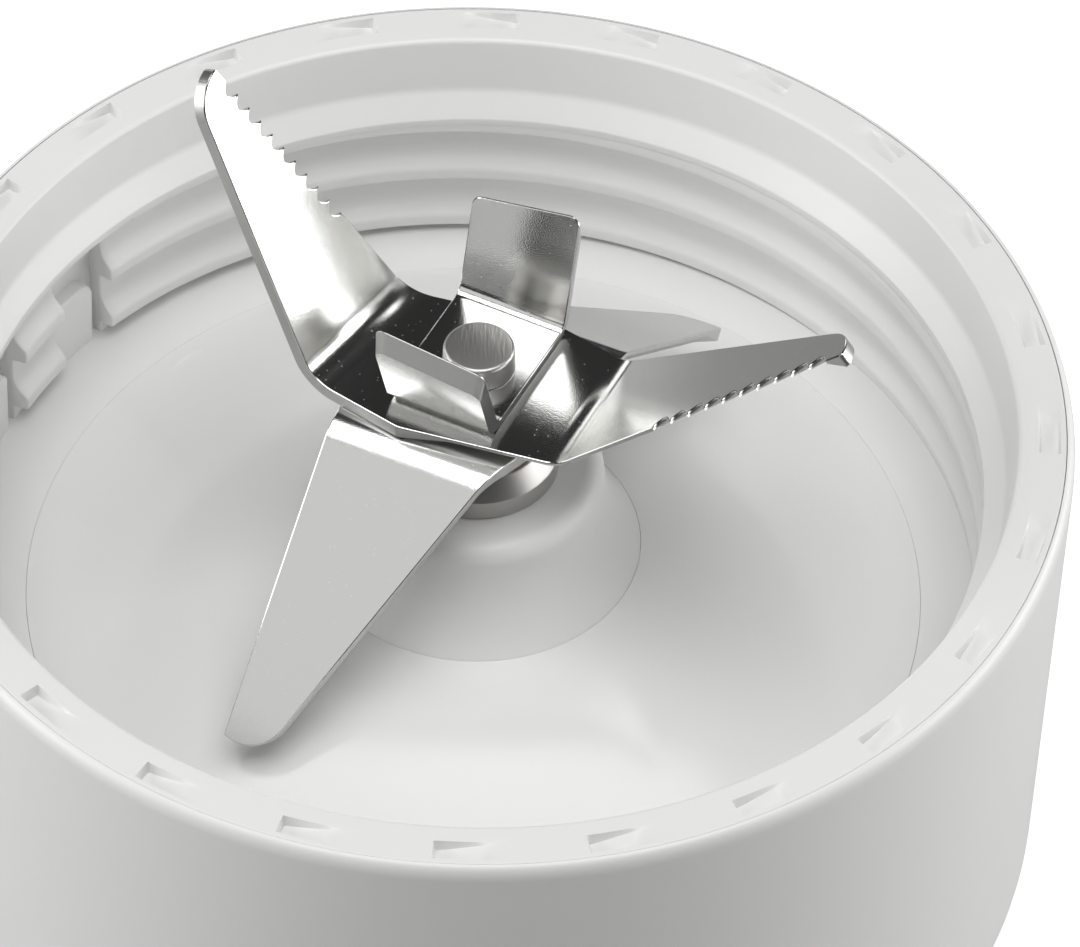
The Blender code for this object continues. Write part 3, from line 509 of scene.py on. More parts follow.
def surface(maker):
    """The material that a maker function gives, made once."""
    if maker not in SURFACES:
        SURFACES[maker] = maker()
    return SURFACES[maker]


def finishes():
    return bpy.context.scene.unit_finishes


# Shapes


def corner_arc(before, corner, after, radius):
    """Points that round a corner between its two neighbours."""
    here = Vector(corner)
    back = (Vector(before) - here).normalized()
    ahead = (Vector(after) - here).normalized()
    half = back.angle(ahead) / 2
    if radius <= 0 or half > math.radians(89.5):
        return [tuple(corner)]
    centre = here + (back + ahead).normalized() * (radius / math.sin(half))
    first = here + back * (radius / math.tan(half)) - centre
    last = here + ahead * (radius / math.tan(half)) - centre
    start = math.atan2(first.y, first.x)
    turn = (math.atan2(last.y, last.x) - start + math.pi) % (2 * math.pi) - math.pi
    steps = max(1, math.ceil(abs(turn) / ARC_STEP))
    return [
        (centre.x + radius * math.cos(a), centre.y + radius * math.sin(a))
        for a in (start + turn * step / steps for step in range(steps + 1))
    ]


def rounded(corners):
    """Closed outline through corners (x, y, radius), each rounded to its radius."""
    outline = []
    for i, (x, y, radius) in enumerate(corners):
        after = corners[(i + 1) % len(corners)]
        outline += corner_arc(corners[i - 1][:2], (x, y), after[:2], radius)
    return outline


def even_turn(steps):
    return [2 * math.pi * step / steps for step in range(steps)]


def arc(centre, radius, start, end, steps):
    """Points round a centre, from one angle to another in degrees."""
    angles = [math.radians(start + (end - start) * i / steps) for i in range(steps + 1)]
    return [(centre[0] + radius * math.cos(a), centre[1] + radius * math.sin(a)) for a in angles]


def at_turn(column, turn):
    """The points (radius, height), placed at an angle round Z."""
    return [(r * math.cos(turn), r * math.sin(turn), z) for r, z in column]


def lathe(outline, turns):
    """Closed outline of (radius, height), turned round Z through a column at each of the angles."""
    bm = bmesh.new()
    columns = [[bm.verts.new(point) for point in at_turn(outline, turn)] for turn in turns]
    for here, there in zip(columns, columns[1:] + columns[:1]):
        for i in range(len(outline)):
            j = (i + 1) % len(outline)
            if outline[i][0] > 0 or outline[j][0] > 0:
                bm.faces.new((here[i], there[i], there[j], here[j]))
    tidy(bm)
    return bm


def tidy(bm):
    """Merges doubles, which also closes poles, and turns the faces outwards."""
    bmesh.ops.remove_doubles(bm, verts=bm.verts, dist=1e-6)
    bmesh.ops.dissolve_degenerate(bm, edges=bm.edges, dist=1e-7)
    bmesh.ops.recalc_face_normals(bm, faces=bm.faces)


def extruded(loops):
    """Solid through closed loops of the same count, one over another, capped at both ends."""
    bm = bmesh.new()
    rings = [[bm.verts.new(point) for point in loop] for loop in loops]
    for here, there in zip(rings[:-1], rings[1:]):
        for i in range(len(here)):
            j = (i + 1) % len(here)
            bm.faces.new((here[i], here[j], there[j], there[i]))
    bm.faces.new(rings[0])
    bm.faces.new(rings[-1])
    tidy(bm)
    return bm


def grown(outline, distance):
    """The outline moved out by a distance, along each corner's mitre. It runs anticlockwise."""
    moved = []
    for i, point in enumerate(outline):
        here = Vector(point)
        back = (here - Vector(outline[i - 1])).normalized()
        ahead = (Vector(outline[(i + 1) % len(outline)]) - here).normalized()
        out = Vector((back.y + ahead.y, -back.x - ahead.x)).normalized()
        stretch = max(0.4, out.dot(Vector((back.y, -back.x))))
        moved.append(tuple(here + out * distance / stretch))
    return moved


def hexagon(flats):
    return arc((0, 0), flats / math.sqrt(3), 0, 360, 6)[:-1]


def joined(meshes):
    """One bmesh of several, which are freed."""
    whole = bmesh.new()
    for bm in meshes:
        mesh = bpy.data.meshes.new("part")
        bm.to_mesh(mesh)
        bm.free()
        whole.from_mesh(mesh)
        bpy.data.meshes.remove(mesh)
    return whole


def as_object(name, bm, makers, sharp=30):
    mesh = bpy.data.meshes.new(name)
    bm.to_mesh(mesh)
    bm.free()
    for maker in makers:
        mesh.materials.append(surface(maker))
    mesh.shade_smooth()
    mesh.set_sharp_from_angle(angle=math.radians(sharp))
    obj = bpy.data.objects.new(name, mesh)
    bpy.context.scene.collection.objects.link(obj)
    return obj


def baked(obj, sharp=30):
    """Applies the object's modifiers, so that only its plain mesh is left."""
    bpy.context.view_layer.update()
    graph = bpy.context.evaluated_depsgraph_get()
    mesh = bpy.data.meshes.new_from_object(obj.evaluated_get(graph))
    obj.modifiers.clear()
    obj.data = mesh
    mesh.shade_smooth()
    mesh.set_sharp_from_angle(angle=math.radians(sharp))
    return obj


def settle(obj, body, slot, *nodes):
    """Makes a piece ride on its body, in place of the CAD nodes that it stands for."""
    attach(obj, body)
    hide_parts(*nodes)


def tree_with_inputs(name, sockets):
    """A geometry tree with a Geometry socket each way, and an input for each (name, kind)."""
    tree = bpy.data.node_groups.new(name, "GeometryNodeTree")
    tree.interface.new_socket("Geometry", in_out="INPUT", socket_type="NodeSocketGeometry")
    tree.interface.new_socket("Geometry", in_out="OUTPUT", socket_type="NodeSocketGeometry")
    for socket, kind in sockets:
        tree.interface.new_socket(socket, in_out="INPUT", socket_type=f"NodeSocket{kind}")
    return tree


def run_tree(obj, tree, values):
    """Runs a geometry tree on an object, with each input set by its identifier."""
    modifier = obj.modifiers.new(tree.name, "NODES")
    modifier.node_group = tree
    for item in tree.interface.items_tree:
        if item.item_type == "SOCKET" and item.in_out == "INPUT" and item.name in values:
            modifier[item.identifier] = values[item.name]


# Holder


def screw_places():
    """The screws' centres, read from the frame."""
    nodes = [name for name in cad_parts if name.startswith("case_screw")]
    return [(sum(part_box(node), Vector()) / 2).xy for node in sorted(nodes)]


def shell_outline(sizes):
    foot = SHELL_RADIUS - (RIM_Z - sizes.shell_round) * math.tan(sizes.shell_draft)
    lip = SHELL_RADIUS - sizes.lip_width
    ledge = RIM_Z - sizes.rim_thick - sizes.fit
    edge = [
        (lip + sizes.lip_width * x, RIM_Z - sizes.lip_height * (1 - y))
        for x, y in arc((0, 0), 1, 90, 0, 8)
    ]
    inner_round = sizes.shell_round - sizes.shell_wall
    centre = foot - sizes.shell_round
    outline = edge + arc((centre, sizes.shell_round), sizes.shell_round, 0, -90, 16)
    outline += rounded([
        (sizes.bottom_opening, 0, 0.5 * MM),
        (sizes.bottom_opening, sizes.bottom_plate, 0.5 * MM),
        (centre, sizes.bottom_plate, 0),
        (centre, 0, 0),
    ])[:-2]
    outline += arc((centre, sizes.bottom_plate + inner_round), inner_round, -90, 0, 10)
    outline += [(SHELL_RADIUS - sizes.shell_wall, ledge), (lip, ledge)]
    return outline


class BLADEUNIT_OT_shell(bpy.types.Operator):
    """Add the outer shell"""

    bl_idname = "bladeunit.shell"
    bl_label = "Outer Shell"

    def execute(self, context):
        sizes = context.scene.unit_holder
        shell = as_object(
            "shell_moulding", lathe(shell_outline(sizes), even_turn(WIDE_STEPS)), [moulded_abs]
        )
        cutters = []
        head = high("case_screw_1", X) - low("case_screw_1", X)
        for place in screw_places():
            bore = lathe(
                [(0, 2 * sizes.bottom_plate), (SCREW_HOLE, 2 * sizes.bottom_plate),
                 (SCREW_HOLE, COUNTERBORE), (head / 2 + sizes.fit, COUNTERBORE),
                 (head / 2 + sizes.fit, -sizes.bottom_plate), (0, -sizes.bottom_plate)],
                even_turn(FINE_STEPS),
            )
            bmesh.ops.translate(bore, verts=bore.verts, vec=(*place, 0))
            cutters.append(bore)
        outer, inner = (sizes.bottom_opening + side * sizes.key_notch for side in (1, -1))
        for notch in range(sizes.key_notches):
            middle = 360 * notch / sizes.key_notches + 90
            start, end = middle - KEY_REACH, middle + KEY_REACH
            outline = arc((0, 0), outer, start, end, 12) + arc((0, 0), inner, end, start, 12)
            cutters.append(extruded(
                [[(x, y, -sizes.bottom_plate) for x, y in outline],
                 [(x, y, 2 * sizes.bottom_plate) for x, y in outline]]
            ))
        cutter = as_object("shell_cutter", joined(cutters), [moulded_abs])
        cut = shell.modifiers.new("bottom", "BOOLEAN")
        cut.operation = "DIFFERENCE"
        cut.object = cutter
        baked(shell)
        bpy.data.objects.remove(cutter)
        settle(shell, "holder", "white_abs", "outer_shell")
        return {"FINISHED"}


def dish_height(radius, sizes, foot):
    """Top of the domed floor at a radius, from its edge at the gasket to the boss's foot."""
    dish = GASKET_OUTER - sizes.gasket_width - sizes.fit
    share = max(0.0, (dish - radius) / (dish - foot))
    return SEAT_Z + sizes.dish_rise * math.sin(share * math.pi / 2) ** sizes.dish_swell


def cup_outline(sizes, pockets, thread):
    """Section of the cup: rim, bore, shoulder, well behind the thread, gasket groove and dome."""
    foot = BOSS_FOOT + 0.03 * MM
    dish = GASKET_OUTER - sizes.gasket_width - 0.02 * MM
    flange = SHELL_RADIUS - sizes.lip_width - SLIT
    cup = SHELL_RADIUS - sizes.shell_wall - sizes.case_gap
    root = cup - sizes.cup_wall
    crest = root - thread.depth - SLIT
    bore = SHELL_RADIUS - sizes.rim_width
    groove = GASKET_LOW - sizes.fit
    under = groove - sizes.floor_thick
    pocket_z = SEAT_Z + sizes.dish_rise - sizes.floor_thick - sizes.fit
    shoulder = RIM_Z - sizes.shoulder_depth
    stem = BOSS_FOOT - STEM_INSET + sizes.fit
    middle = FLANGE_EDGE - pockets.inset - pockets.width / 2
    walls = []
    for side in (1, -1):
        wall = middle + side * pockets.width / 2
        steps = (1.6, 1.0, 0.5, 0.0) if side > 0 else (0.0, 0.5, 1.0, 1.6)
        walls += [(wall + side * step * pockets.edge, RIM_Z) for step in steps]
    rings = 40
    dome = [foot + (dish - foot) * ring / rings for ring in range(rings + 1)]
    outline = rounded([
        (flange, RIM_Z - 0.5 * MM, 0),
        (flange, RIM_Z, 0.12 * MM),
        (middle, RIM_Z, 0),
    ])[:-1]
    outline += walls
    outline += rounded([
        (middle, RIM_Z, 0),
        (bore, RIM_Z, 0.45 * MM),
        (bore - sizes.pilot_taper, RIM_Z - sizes.pilot_depth, 1.2 * MM),
        (crest, shoulder + sizes.shoulder_land, 0.3 * MM),
        (crest, shoulder, 0.12 * MM),
        (root + sizes.well, shoulder - 0.3 * MM, 0.4 * MM),
        (root + sizes.well, groove, 0.2 * MM),
        (dish, groove, 0),
        (dish, SEAT_Z, 0),
    ])[1:-1]
    outline += [(r, dish_height(r, sizes, foot)) for r in reversed(dome)]
    outline += [(foot, pocket_z), (stem, pocket_z), (stem, pocket_z - sizes.floor_thick)]
    outline += [
        (r, dish_height(r, sizes, foot) - sizes.floor_thick) for r in dome[4:-4:4]
    ]
    outline += rounded([
        (dish - sizes.floor_thick, under, 0),
        (cup, under, 1.0 * MM),
        (cup, RIM_Z - sizes.rim_thick, 0.4 * MM),
        (flange, RIM_Z - sizes.rim_thick, 0.2 * MM),
        (flange, RIM_Z - 0.5 * MM, 0),
    ])[:-1]
    return outline


def pocket_tree():
    """Sinks the rim's top face into ramped pockets, evenly spaced round Z."""
    tree = tree_with_inputs("rim_pockets", [
        ("Count", "Int"), ("Middle radius", "Float"), ("Rim height", "Float"),
        ("Width", "Float"), ("Length", "Float"), ("Depth", "Float"), ("Edge", "Float"),
        ("Start", "Float"), ("Material", "Material"),
    ])
    given = add_node(tree, "NodeGroupInput").outputs
    place = add_node(tree, "GeometryNodeInputPosition").outputs[0]
    parts = add_node(tree, "ShaderNodeSeparateXYZ", {0: place}).outputs
    flat = add_node(tree, "ShaderNodeCombineXYZ", {0: parts[0], 1: parts[1]}).outputs[0]
    radius = add_node(tree, "ShaderNodeVectorMath", {0: flat}, operation="LENGTH").outputs["Value"]
    found = {"x": parts[0], "y": parts[1], "z": parts[2], "radius": radius}
    found |= {socket.name: socket for socket in given}
    # Each row names what a Math node gives, then its operation and what it takes.
    for name, operation, first, second in (
        ("turn", "ARCTAN2", "y", "x"),
        ("sector", "DIVIDE", 2 * math.pi, "Count"),
        ("past start", "SUBTRACT", "turn", "Start"),
        ("within", "FLOORED_MODULO", "past start", "sector"),
        ("along", "MULTIPLY", "within", "Middle radius"),
        ("run", "DIVIDE", "along", "Length"),
        ("ramp", "SUBTRACT", 1.0, "run"),
        ("steep end", "DIVIDE", "along", "Edge"),
        ("off middle", "SUBTRACT", "radius", "Middle radius"),
        ("across", "ABSOLUTE", "off middle", 0.0),
        ("half width", "MULTIPLY", "Width", 0.5),
        ("inside", "SUBTRACT", "half width", "across"),
        ("with edge", "ADD", "inside", "Edge"),
        ("side", "DIVIDE", "with edge", "Edge"),
        ("ramp and end", "MULTIPLY", "ramp", "steep end"),
        ("share", "MULTIPLY", "ramp and end", "side"),
        ("top limit", "SUBTRACT", "Rim height", 0.01 * MM),
        ("on top", "GREATER_THAN", "z", "top limit"),
        ("top share", "MULTIPLY", "share", "on top"),
        ("drop", "MULTIPLY", "top share", "Depth"),
        ("shift", "MULTIPLY", "drop", -1.0),
    ):
        step = add_node(
            tree, "ShaderNodeMath", {0: found.get(first, first), 1: found.get(second, second)},
            operation=operation, use_clamp=name in ("ramp", "steep end", "side"),
        )
        found[name] = step.outputs[0]
    shift = add_node(tree, "ShaderNodeCombineXYZ", {2: found["shift"]}).outputs[0]
    sunk = add_node(
        tree, "GeometryNodeSetPosition", {"Geometry": given["Geometry"], "Offset": shift}
    )
    real = add_node(tree, "GeometryNodeRealizeInstances", {0: sunk.outputs[0]})
    # Only the faces with the first material are painted, so the domed floor keeps its gloss.
    index = add_node(tree, "GeometryNodeInputMaterialIndex").outputs[0]
    grained = add_node(
        tree, "FunctionNodeCompare", {2: index, 3: 0}, data_type="INT", operation="EQUAL"
    )
    painted = add_node(tree, "GeometryNodeSetMaterial", {
        "Geometry": real.outputs[0], "Selection": grained.outputs[0], "Material": given["Material"],
    })
    add_node(tree, "NodeGroupOutput", {0: painted.outputs[0]})
    return tree


def cup_turns(pockets, middle):
    """Angles of the cup's columns, closest together at the pockets' steep ends."""
    sector = 2 * math.pi / pockets.count
    span = sector * middle
    stations = [0, 0.5 * pockets.edge, pockets.edge, 2 * pockets.edge]
    stations += [pockets.run * (0.08 + 0.92 * i / 6) for i in range(1, 7)]
    rest = span - pockets.run - pockets.edge
    stations += [pockets.run + rest * i / 8 for i in range(1, 9)]
    shares = [station / span for station in stations]
    return [
        pockets.start + sector * (pocket + share)
        for pocket in range(pockets.count)
        for share in shares
    ]


class BLADEUNIT_OT_cup(bpy.types.Operator):
    """Add the threaded cup, without its thread"""

    bl_idname = "bladeunit.cup"
    bl_label = "Cup and Rim Pockets"

    def execute(self, context):
        scene = context.scene
        sizes, pockets = scene.unit_holder, scene.unit_pockets
        middle = FLANGE_EDGE - pockets.inset - pockets.width / 2
        outline = cup_outline(sizes, pockets, scene.unit_thread)
        bm = lathe(outline, cup_turns(pockets, middle))
        dish = GASKET_OUTER - sizes.gasket_width
        for face in bm.faces:
            centre = face.calc_center_median()
            if centre.xy.length < dish and centre.z > SEAT_Z - sizes.floor_thick * 0.5:
                face.material_index = 1
        cup = as_object("cup_moulding", bm, [moulded_abs, polished_abs])
        run_tree(cup, pocket_tree(), {
            "Count": pockets.count, "Middle radius": middle, "Rim height": RIM_Z,
            "Width": pockets.width, "Length": pockets.run, "Depth": pockets.depth,
            "Edge": pockets.edge, "Start": pockets.start, "Material": surface(moulded_abs),
        })
        baked(cup)
        settle(cup, "holder", "white_abs", "threaded_cup")
        return {"FINISHED"}


def thread_section(thread):
    """One pitch of the thread, from below a ridge upwards, as (height, depth over the root)."""
    top = thread.flank + thread.face
    corners = [
        (-0.4 * MM, 0, 0),
        (0, 0, 0.12 * MM),
        (thread.flank, thread.depth, 0.18 * MM),
        (top, thread.depth, 0.7 * MM),
        (top + thread.slope, 0, 1.9 * MM),
        (thread.pitch - 0.41 * MM, 0, 0),
    ]
    return rounded(corners)


def thread_sectors(thread):
    """Start and end azimuths, in radians, of the stretches between the breaks."""
    gaps = []
    for side in (0, math.pi):
        for i in range(thread.breaks):
            gap = thread.break_start + thread.break_pitch * i + side
            gaps.append((gap, gap + thread.break_width))
    gaps.sort()
    following = gaps[1:] + [(gaps[0][0] + 2 * math.pi, 0)]
    return [(gap[1], later[0]) for gap, later in zip(gaps, following)]


def clipped(column, low_z, high_z):
    """The rising points (radius, height), with those past a limit moved to where the line crosses it."""
    moved = list(column)
    for limit, sign in ((low_z, 1), (high_z, -1)):
        crossing = None
        for (r, z), (next_r, next_z) in zip(column, column[1:]):
            if z <= limit < next_z:
                crossing = (r + (next_r - r) * (limit - z) / (next_z - z), limit)
        moved = [
            crossing if crossing and sign * (z - limit) < 0 else (r, z) for r, z in moved
        ]
    return moved


def thread_sector(thread, start, end, root, low_z, high_z):
    """One stretch of the thread, as a closed block with square ends."""
    section = thread_section(thread)
    edge = END_EASE / root
    inner = max(2, round((end - start) / math.radians(1.2)))
    turns = [start, start + edge / 2, start + edge]
    turns += [start + (end - start) * i / inner for i in range(1, inner)]
    turns += [end - edge, end - edge / 2, end]
    loops = []
    for turn in turns:
        ease = max(0.0, 1 - min(turn - start, end - turn) / edge) ** 2 * END_EASE
        azimuth = turn % (2 * math.pi)
        column = []
        for lap in (3, 2, 1, 0):
            total = azimuth - 2 * math.pi * lap
            bottom = RIM_Z - thread.first + thread.pitch * (total - math.pi / 2) / (2 * math.pi)
            exists = total <= thread.start
            column += [
                (root - (depth if exists else 0) + ease, bottom + height)
                for height, depth in section
            ]
        column = clipped(column, low_z, high_z)
        back = root + THREAD_ROOTED
        column += [(back, high_z), (back, low_z)]
        loops.append(at_turn(column, turn))
    return extruded(loops)


def break_block(thread, start, end, root, low_z):
    """The low block in a break, with a rounded corner and a slot beside the thread."""
    left = end + 0.1 * MM / root
    right = start + thread.block_slot / root
    top = RIM_Z - thread.block_drop
    steps = 24
    loops = []
    for step in range(steps + 1):
        turn = right + (left - right) * (step / steps) ** 1.6
        run = min((turn - right) * root, thread.block_round)
        fall = thread.block_round - math.sqrt(
            thread.block_round**2 - (thread.block_round - run) ** 2
        )
        front = root + END_EASE * max(0.0, 1 - run / (2 * END_EASE)) ** 2
        back = root + THREAD_ROOTED
        column = rounded([
            (front, low_z, 0),
            (front, top - fall, 0.25 * MM),
            (back, top - fall, 0),
            (back, low_z, 0),
        ])
        loops.append(at_turn(column, turn))
    return extruded(loops)


class BLADEUNIT_OT_thread(bpy.types.Operator):
    """Add the interrupted thread and the blocks in its breaks"""

    bl_idname = "bladeunit.thread"
    bl_label = "Inner Thread"

    def execute(self, context):
        sizes, thread = context.scene.unit_holder, context.scene.unit_thread
        root = SHELL_RADIUS - sizes.shell_wall - sizes.case_gap - sizes.cup_wall
        low_z = SEAT_Z + 0.02 * MM
        high_z = RIM_Z - sizes.shoulder_depth + sizes.shoulder_land / 2
        blocks = []
        for start, end in thread_sectors(thread):
            blocks.append(thread_sector(thread, start, end, root, low_z, high_z))
            blocks.append(break_block(thread, end, end + thread.break_width, root, low_z))
        made = as_object("jar_thread", joined(blocks), [moulded_abs], sharp=40)
        settle(made, "holder", "white_abs")
        return {"FINISHED"}


def ring_tree(name):
    """Repeats a piece on an even circle round Z."""
    tree = tree_with_inputs(name, [
        ("Count", "Int"), ("Radius", "Float"), ("Start", "Float"), ("Material", "Material"),
    ])
    given = add_node(tree, "NodeGroupInput").outputs
    ring = add_node(
        tree, "GeometryNodeMeshCircle", {"Vertices": given["Count"], "Radius": given["Radius"]}
    )
    spin = add_node(tree, "ShaderNodeCombineXYZ", {2: given["Start"]}).outputs[0]
    turned = add_node(
        tree, "GeometryNodeTransform", {"Geometry": ring.outputs[0], "Rotation": spin}
    )
    placed = add_node(
        tree,
        "GeometryNodeInstanceOnPoints",
        {"Points": turned.outputs[0], "Instance": given["Geometry"]},
    )
    real = add_node(tree, "GeometryNodeRealizeInstances", {0: placed.outputs[0]})
    painted = add_node(
        tree, "GeometryNodeSetMaterial", {"Geometry": real.outputs[0], "Material": given["Material"]}
    )
    add_node(tree, "NodeGroupOutput", {0: painted.outputs[0]})
    return tree


class BLADEUNIT_OT_screws(bpy.types.Operator):
    """Add the screws that hold the cup in the shell, and the posts that they go into"""

    bl_idname = "bladeunit.screws"
    bl_label = "Case Screws and Posts"

    def execute(self, context):
        sizes = context.scene.unit_screws
        places = screw_places()
        circle_radius = places[0].length
        start = math.atan2(places[0].y, places[0].x)
        underside, tip = low("case_screw_1"), high("case_screw_1")
        head = (high("case_screw_1", X) - low("case_screw_1", X)) / 2
        neck = underside + sizes.head_height
        section = rounded([
            (0, underside, 0),
            (head, underside, 0.4 * MM),
            (head, neck, 0.1 * MM),
            (sizes.shank, neck, 0.1 * MM),
            (sizes.shank, tip - sizes.shank, 0),
            (sizes.shank / 2, tip, 0),
            (0, tip, 0),
        ])
        screws = as_object("case_screws", lathe(section, even_turn(FINE_STEPS)), [turned_steel])
        corners = hexagon(sizes.socket)
        cutter = as_object("socket_cutter", extruded([
            [(x, y, underside - sizes.socket_depth) for x, y in corners],
            [(x, y, underside + sizes.socket_depth) for x, y in corners],
        ]), [turned_steel])
        cut = screws.modifiers.new("socket", "BOOLEAN")
        cut.operation = "DIFFERENCE"
        cut.object = cutter
        holder = context.scene.unit_holder
        foot = holder.bottom_plate + holder.fit
        post_top = dish_height(circle_radius, holder, BOSS_FOOT) - holder.floor_thick / 2
        hole, hole_end = sizes.shank + SLIT, tip + sizes.spare
        posts = as_object("screw_posts", lathe(rounded([
            (hole, foot, 0.15 * MM),
            (sizes.post, foot, 0.3 * MM),
            (sizes.post, post_top, 0.1 * MM),
            (0, post_top, 0),
            (0, hole_end, 0),
            (hole, hole_end, 0),
        ]), even_turn(FINE_STEPS)), [moulded_abs])
        for piece, maker in ((screws, turned_steel), (posts, moulded_abs)):
            run_tree(piece, ring_tree(f"{piece.name}_ring"), {
                "Count": len(places), "Radius": circle_radius, "Start": start,
                "Material": surface(maker),
            })
            baked(piece)
        bpy.data.objects.remove(cutter)
        nodes = [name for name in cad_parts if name.startswith("case_screw")]
        settle(screws, "holder", "turned_steel", *nodes)
        settle(posts, "holder", "white_abs")
        return {"FINISHED"}


class BLADEUNIT_OT_gasket(bpy.types.Operator):
    """Add the gasket that the jar's rim presses on"""

    bl_idname = "bladeunit.gasket"
    bl_label = "Jar Gasket"

    def execute(self, context):
        sizes = context.scene.unit_holder
        inner = GASKET_OUTER - sizes.gasket_width
        root = SHELL_RADIUS - sizes.shell_wall - sizes.case_gap - sizes.cup_wall
        outer = root + sizes.well - SLIT
        outline = rounded([
            (outer, GASKET_LOW, 0.2 * MM),
            (outer, SEAT_Z, 0.1 * MM),
            (inner, SEAT_Z, 0.08 * MM),
            (inner, GASKET_LOW, 0.2 * MM),
        ])
        gasket = as_object("gasket_ring", lathe(outline, even_turn(WIDE_STEPS)), [moulded_silicone])
        settle(gasket, "holder", "white_silicone", "jar_gasket")
        return {"FINISHED"}


# Bearing


class BLADEUNIT_OT_bearing(bpy.types.Operator):
    """Add the boss and the flanged sleeve"""

    bl_idname = "bladeunit.bearing"
    bl_label = "Boss and Sleeve"

    def execute(self, context):
        holder, sizes = context.scene.unit_holder, context.scene.unit_bearing
        dish_z = SEAT_Z + holder.dish_rise
        neck = BOSS_FOOT - sizes.flare
        shoulder_z = BOSS_TOP - sizes.shoulder
        side = [(1 - step / 24) for step in range(1, 25)]
        outline = arc((neck - sizes.shoulder, shoulder_z), sizes.shoulder, 90, 0, 10)
        outline += [
            (neck + sizes.flare * (1 - share) ** sizes.flare_power,
             dish_z + (shoulder_z - dish_z) * share)
            for share in side
        ]
        bottom = low("bearing_boss")
        fit = sizes.sleeve_radius + SLIT
        stem = BOSS_FOOT - STEM_INSET - 2 * SLIT
        outline += [(BOSS_FOOT, dish_z - 1.5 * MM), (stem, dish_z - 2.0 * MM),
                    (stem, bottom), (fit, bottom), (fit, BOSS_TOP)]
        boss = as_object("boss_moulding", lathe(outline, even_turn(MID_STEPS)), [moulded_abs])
        settle(boss, "holder", "white_abs", "bearing_boss")

        seat = BOSS_TOP + SLIT
        top = high("bearing_sleeve")
        end = low("bearing_sleeve")
        bore = sizes.sleeve_radius - sizes.sleeve_wall
        outline = rounded([
            (bore, end, 0.2 * MM),
            (sizes.sleeve_radius, end, 0.3 * MM),
            (sizes.sleeve_radius, seat, 0),
            (FLANGE_RADIUS, seat, 0.15 * MM),
            (FLANGE_RADIUS, seat + sizes.sleeve_side, 0.3 * MM),
            ((bore + FLANGE_RADIUS) / 2, top, 0.25 * MM),
            (bore, top, 0.1 * MM),
        ])
        sleeve = as_object("sleeve_turning", lathe(outline, even_turn(MID_STEPS)), [turned_steel])
        settle(sleeve, "holder", "turned_steel", "bearing_sleeve")
        return {"FINISHED"}


# Blades


def folded(along, depth, fold, bend, radius, sheet):
    """Where a point of the flat sheet goes: its place along the arm, and height over the hub."""
    sign = 1 if bend > 0 else -1
    turn = abs(bend)
    top_radius = radius if sign > 0 else radius + sheet
    half = top_radius * math.tan(turn / 2)
    if along <= fold - half:
        return along, -depth
    reach = top_radius + sign * depth
    if along < fold + half:
        angle = turn * (along - fold + half) / (2 * half)
        centre = sign * top_radius
        return fold - half + reach * math.sin(angle), centre - sign * reach * math.cos(angle)
    past = along - fold
    x = fold + past * math.cos(turn) + sign * depth * math.sin(turn)
    return x, sign * past * math.sin(turn) - depth * math.cos(turn)


def blade_blank(points, hole, sheet, edge, thin):
    """Flat blade with rounded edges. Each of its points is (x, y), or (x, y, ground x, ground y)
    where the sheet is ground from below to this thin an edge: the bottom face starts there."""
    outline = [entry[:2] for entry in points]
    eased = grown(outline, -edge)
    half_eased = grown(outline, -0.3 * edge)
    ground = [len(entry) == 4 for entry in points]
    bottom = [entry[2:] if cut else inner for entry, inner, cut in zip(points, eased, ground)]
    levels = [
        (eased, [0.0] * len(points)),
        (half_eased, [-0.3 * edge] * len(points)),
        (outline, [-edge] * len(points)),
        (outline, [-thin if cut else edge - sheet for cut in ground]),
        (bottom, [-sheet] * len(points)),
    ]
    bm = bmesh.new()
    rings = []
    for loop, heights in levels:
        rings.append([bm.verts.new((x, y, z)) for (x, y), z in zip(loop, heights)])
    for level, (here, there) in enumerate(zip(rings[:-1], rings[1:])):
        for i in range(len(here)):
            j = (i + 1) % len(here)
            face = bm.faces.new((here[i], here[j], there[j], there[i]))
            face.material_index = 1 if level >= 2 else 0
    holes = [[bm.verts.new((x, y, z)) for x, y in hole] for z in (0.0, -sheet)]
    for i in range(len(hole)):
        wall = bm.faces.new((holes[0][i - 1], holes[0][i], holes[1][i], holes[1][i - 1]))
        wall.material_index = 1
    for loops in ((rings[0], holes[0]), (rings[-1], holes[1])):
        edges = [bm.edges.get((loop[i - 1], loop[i])) for loop in loops for i in range(len(loop))]
        bmesh.ops.triangle_fill(bm, edges=edges, use_beauty=True)
    bmesh.ops.recalc_face_normals(bm, faces=bm.faces)
    return bm


def opposite(arm):
    """The same arm on the blade's other side."""
    return [tuple(-value for value in entry) for entry in arm]


def fold_blade(bm, sheet, top, folds, bends, radius, azimuth, skews=(0, 0)):
    """Folds both arms of a flat blade, turns it to its azimuth and lifts it to its height.

    A skew turns a fold's line from square."""
    for side, fold, bend, skew in zip((1, -1), folds, bends, skews):
        outside = radius if bend > 0 else radius + sheet
        half = outside * math.tan(abs(bend) / 2)
        across = Vector((math.cos(skew), math.sin(skew), 0))
        for step in range(BEND_STEPS + 1):
            place = side * (fold - half + 2 * half * step / BEND_STEPS)
            bmesh.ops.bisect_plane(
                bm, geom=[*bm.verts, *bm.edges, *bm.faces], dist=1e-7,
                plane_co=place * across, plane_no=across,
            )
    for vert in bm.verts:
        side, which = (1, 0) if vert.co.x > 0 else (-1, 1)
        turn = Matrix.Rotation(skews[which], 3, "Z")
        flat = turn.inverted() @ vert.co
        along, height = folded(
            side * flat.x, -flat.z, folds[which], bends[which], radius, sheet
        )
        vert.co = turn @ Vector((side * along, flat.y, top + height))
    bmesh.ops.rotate(bm, verts=bm.verts, matrix=Matrix.Rotation(azimuth, 3, "Z"))


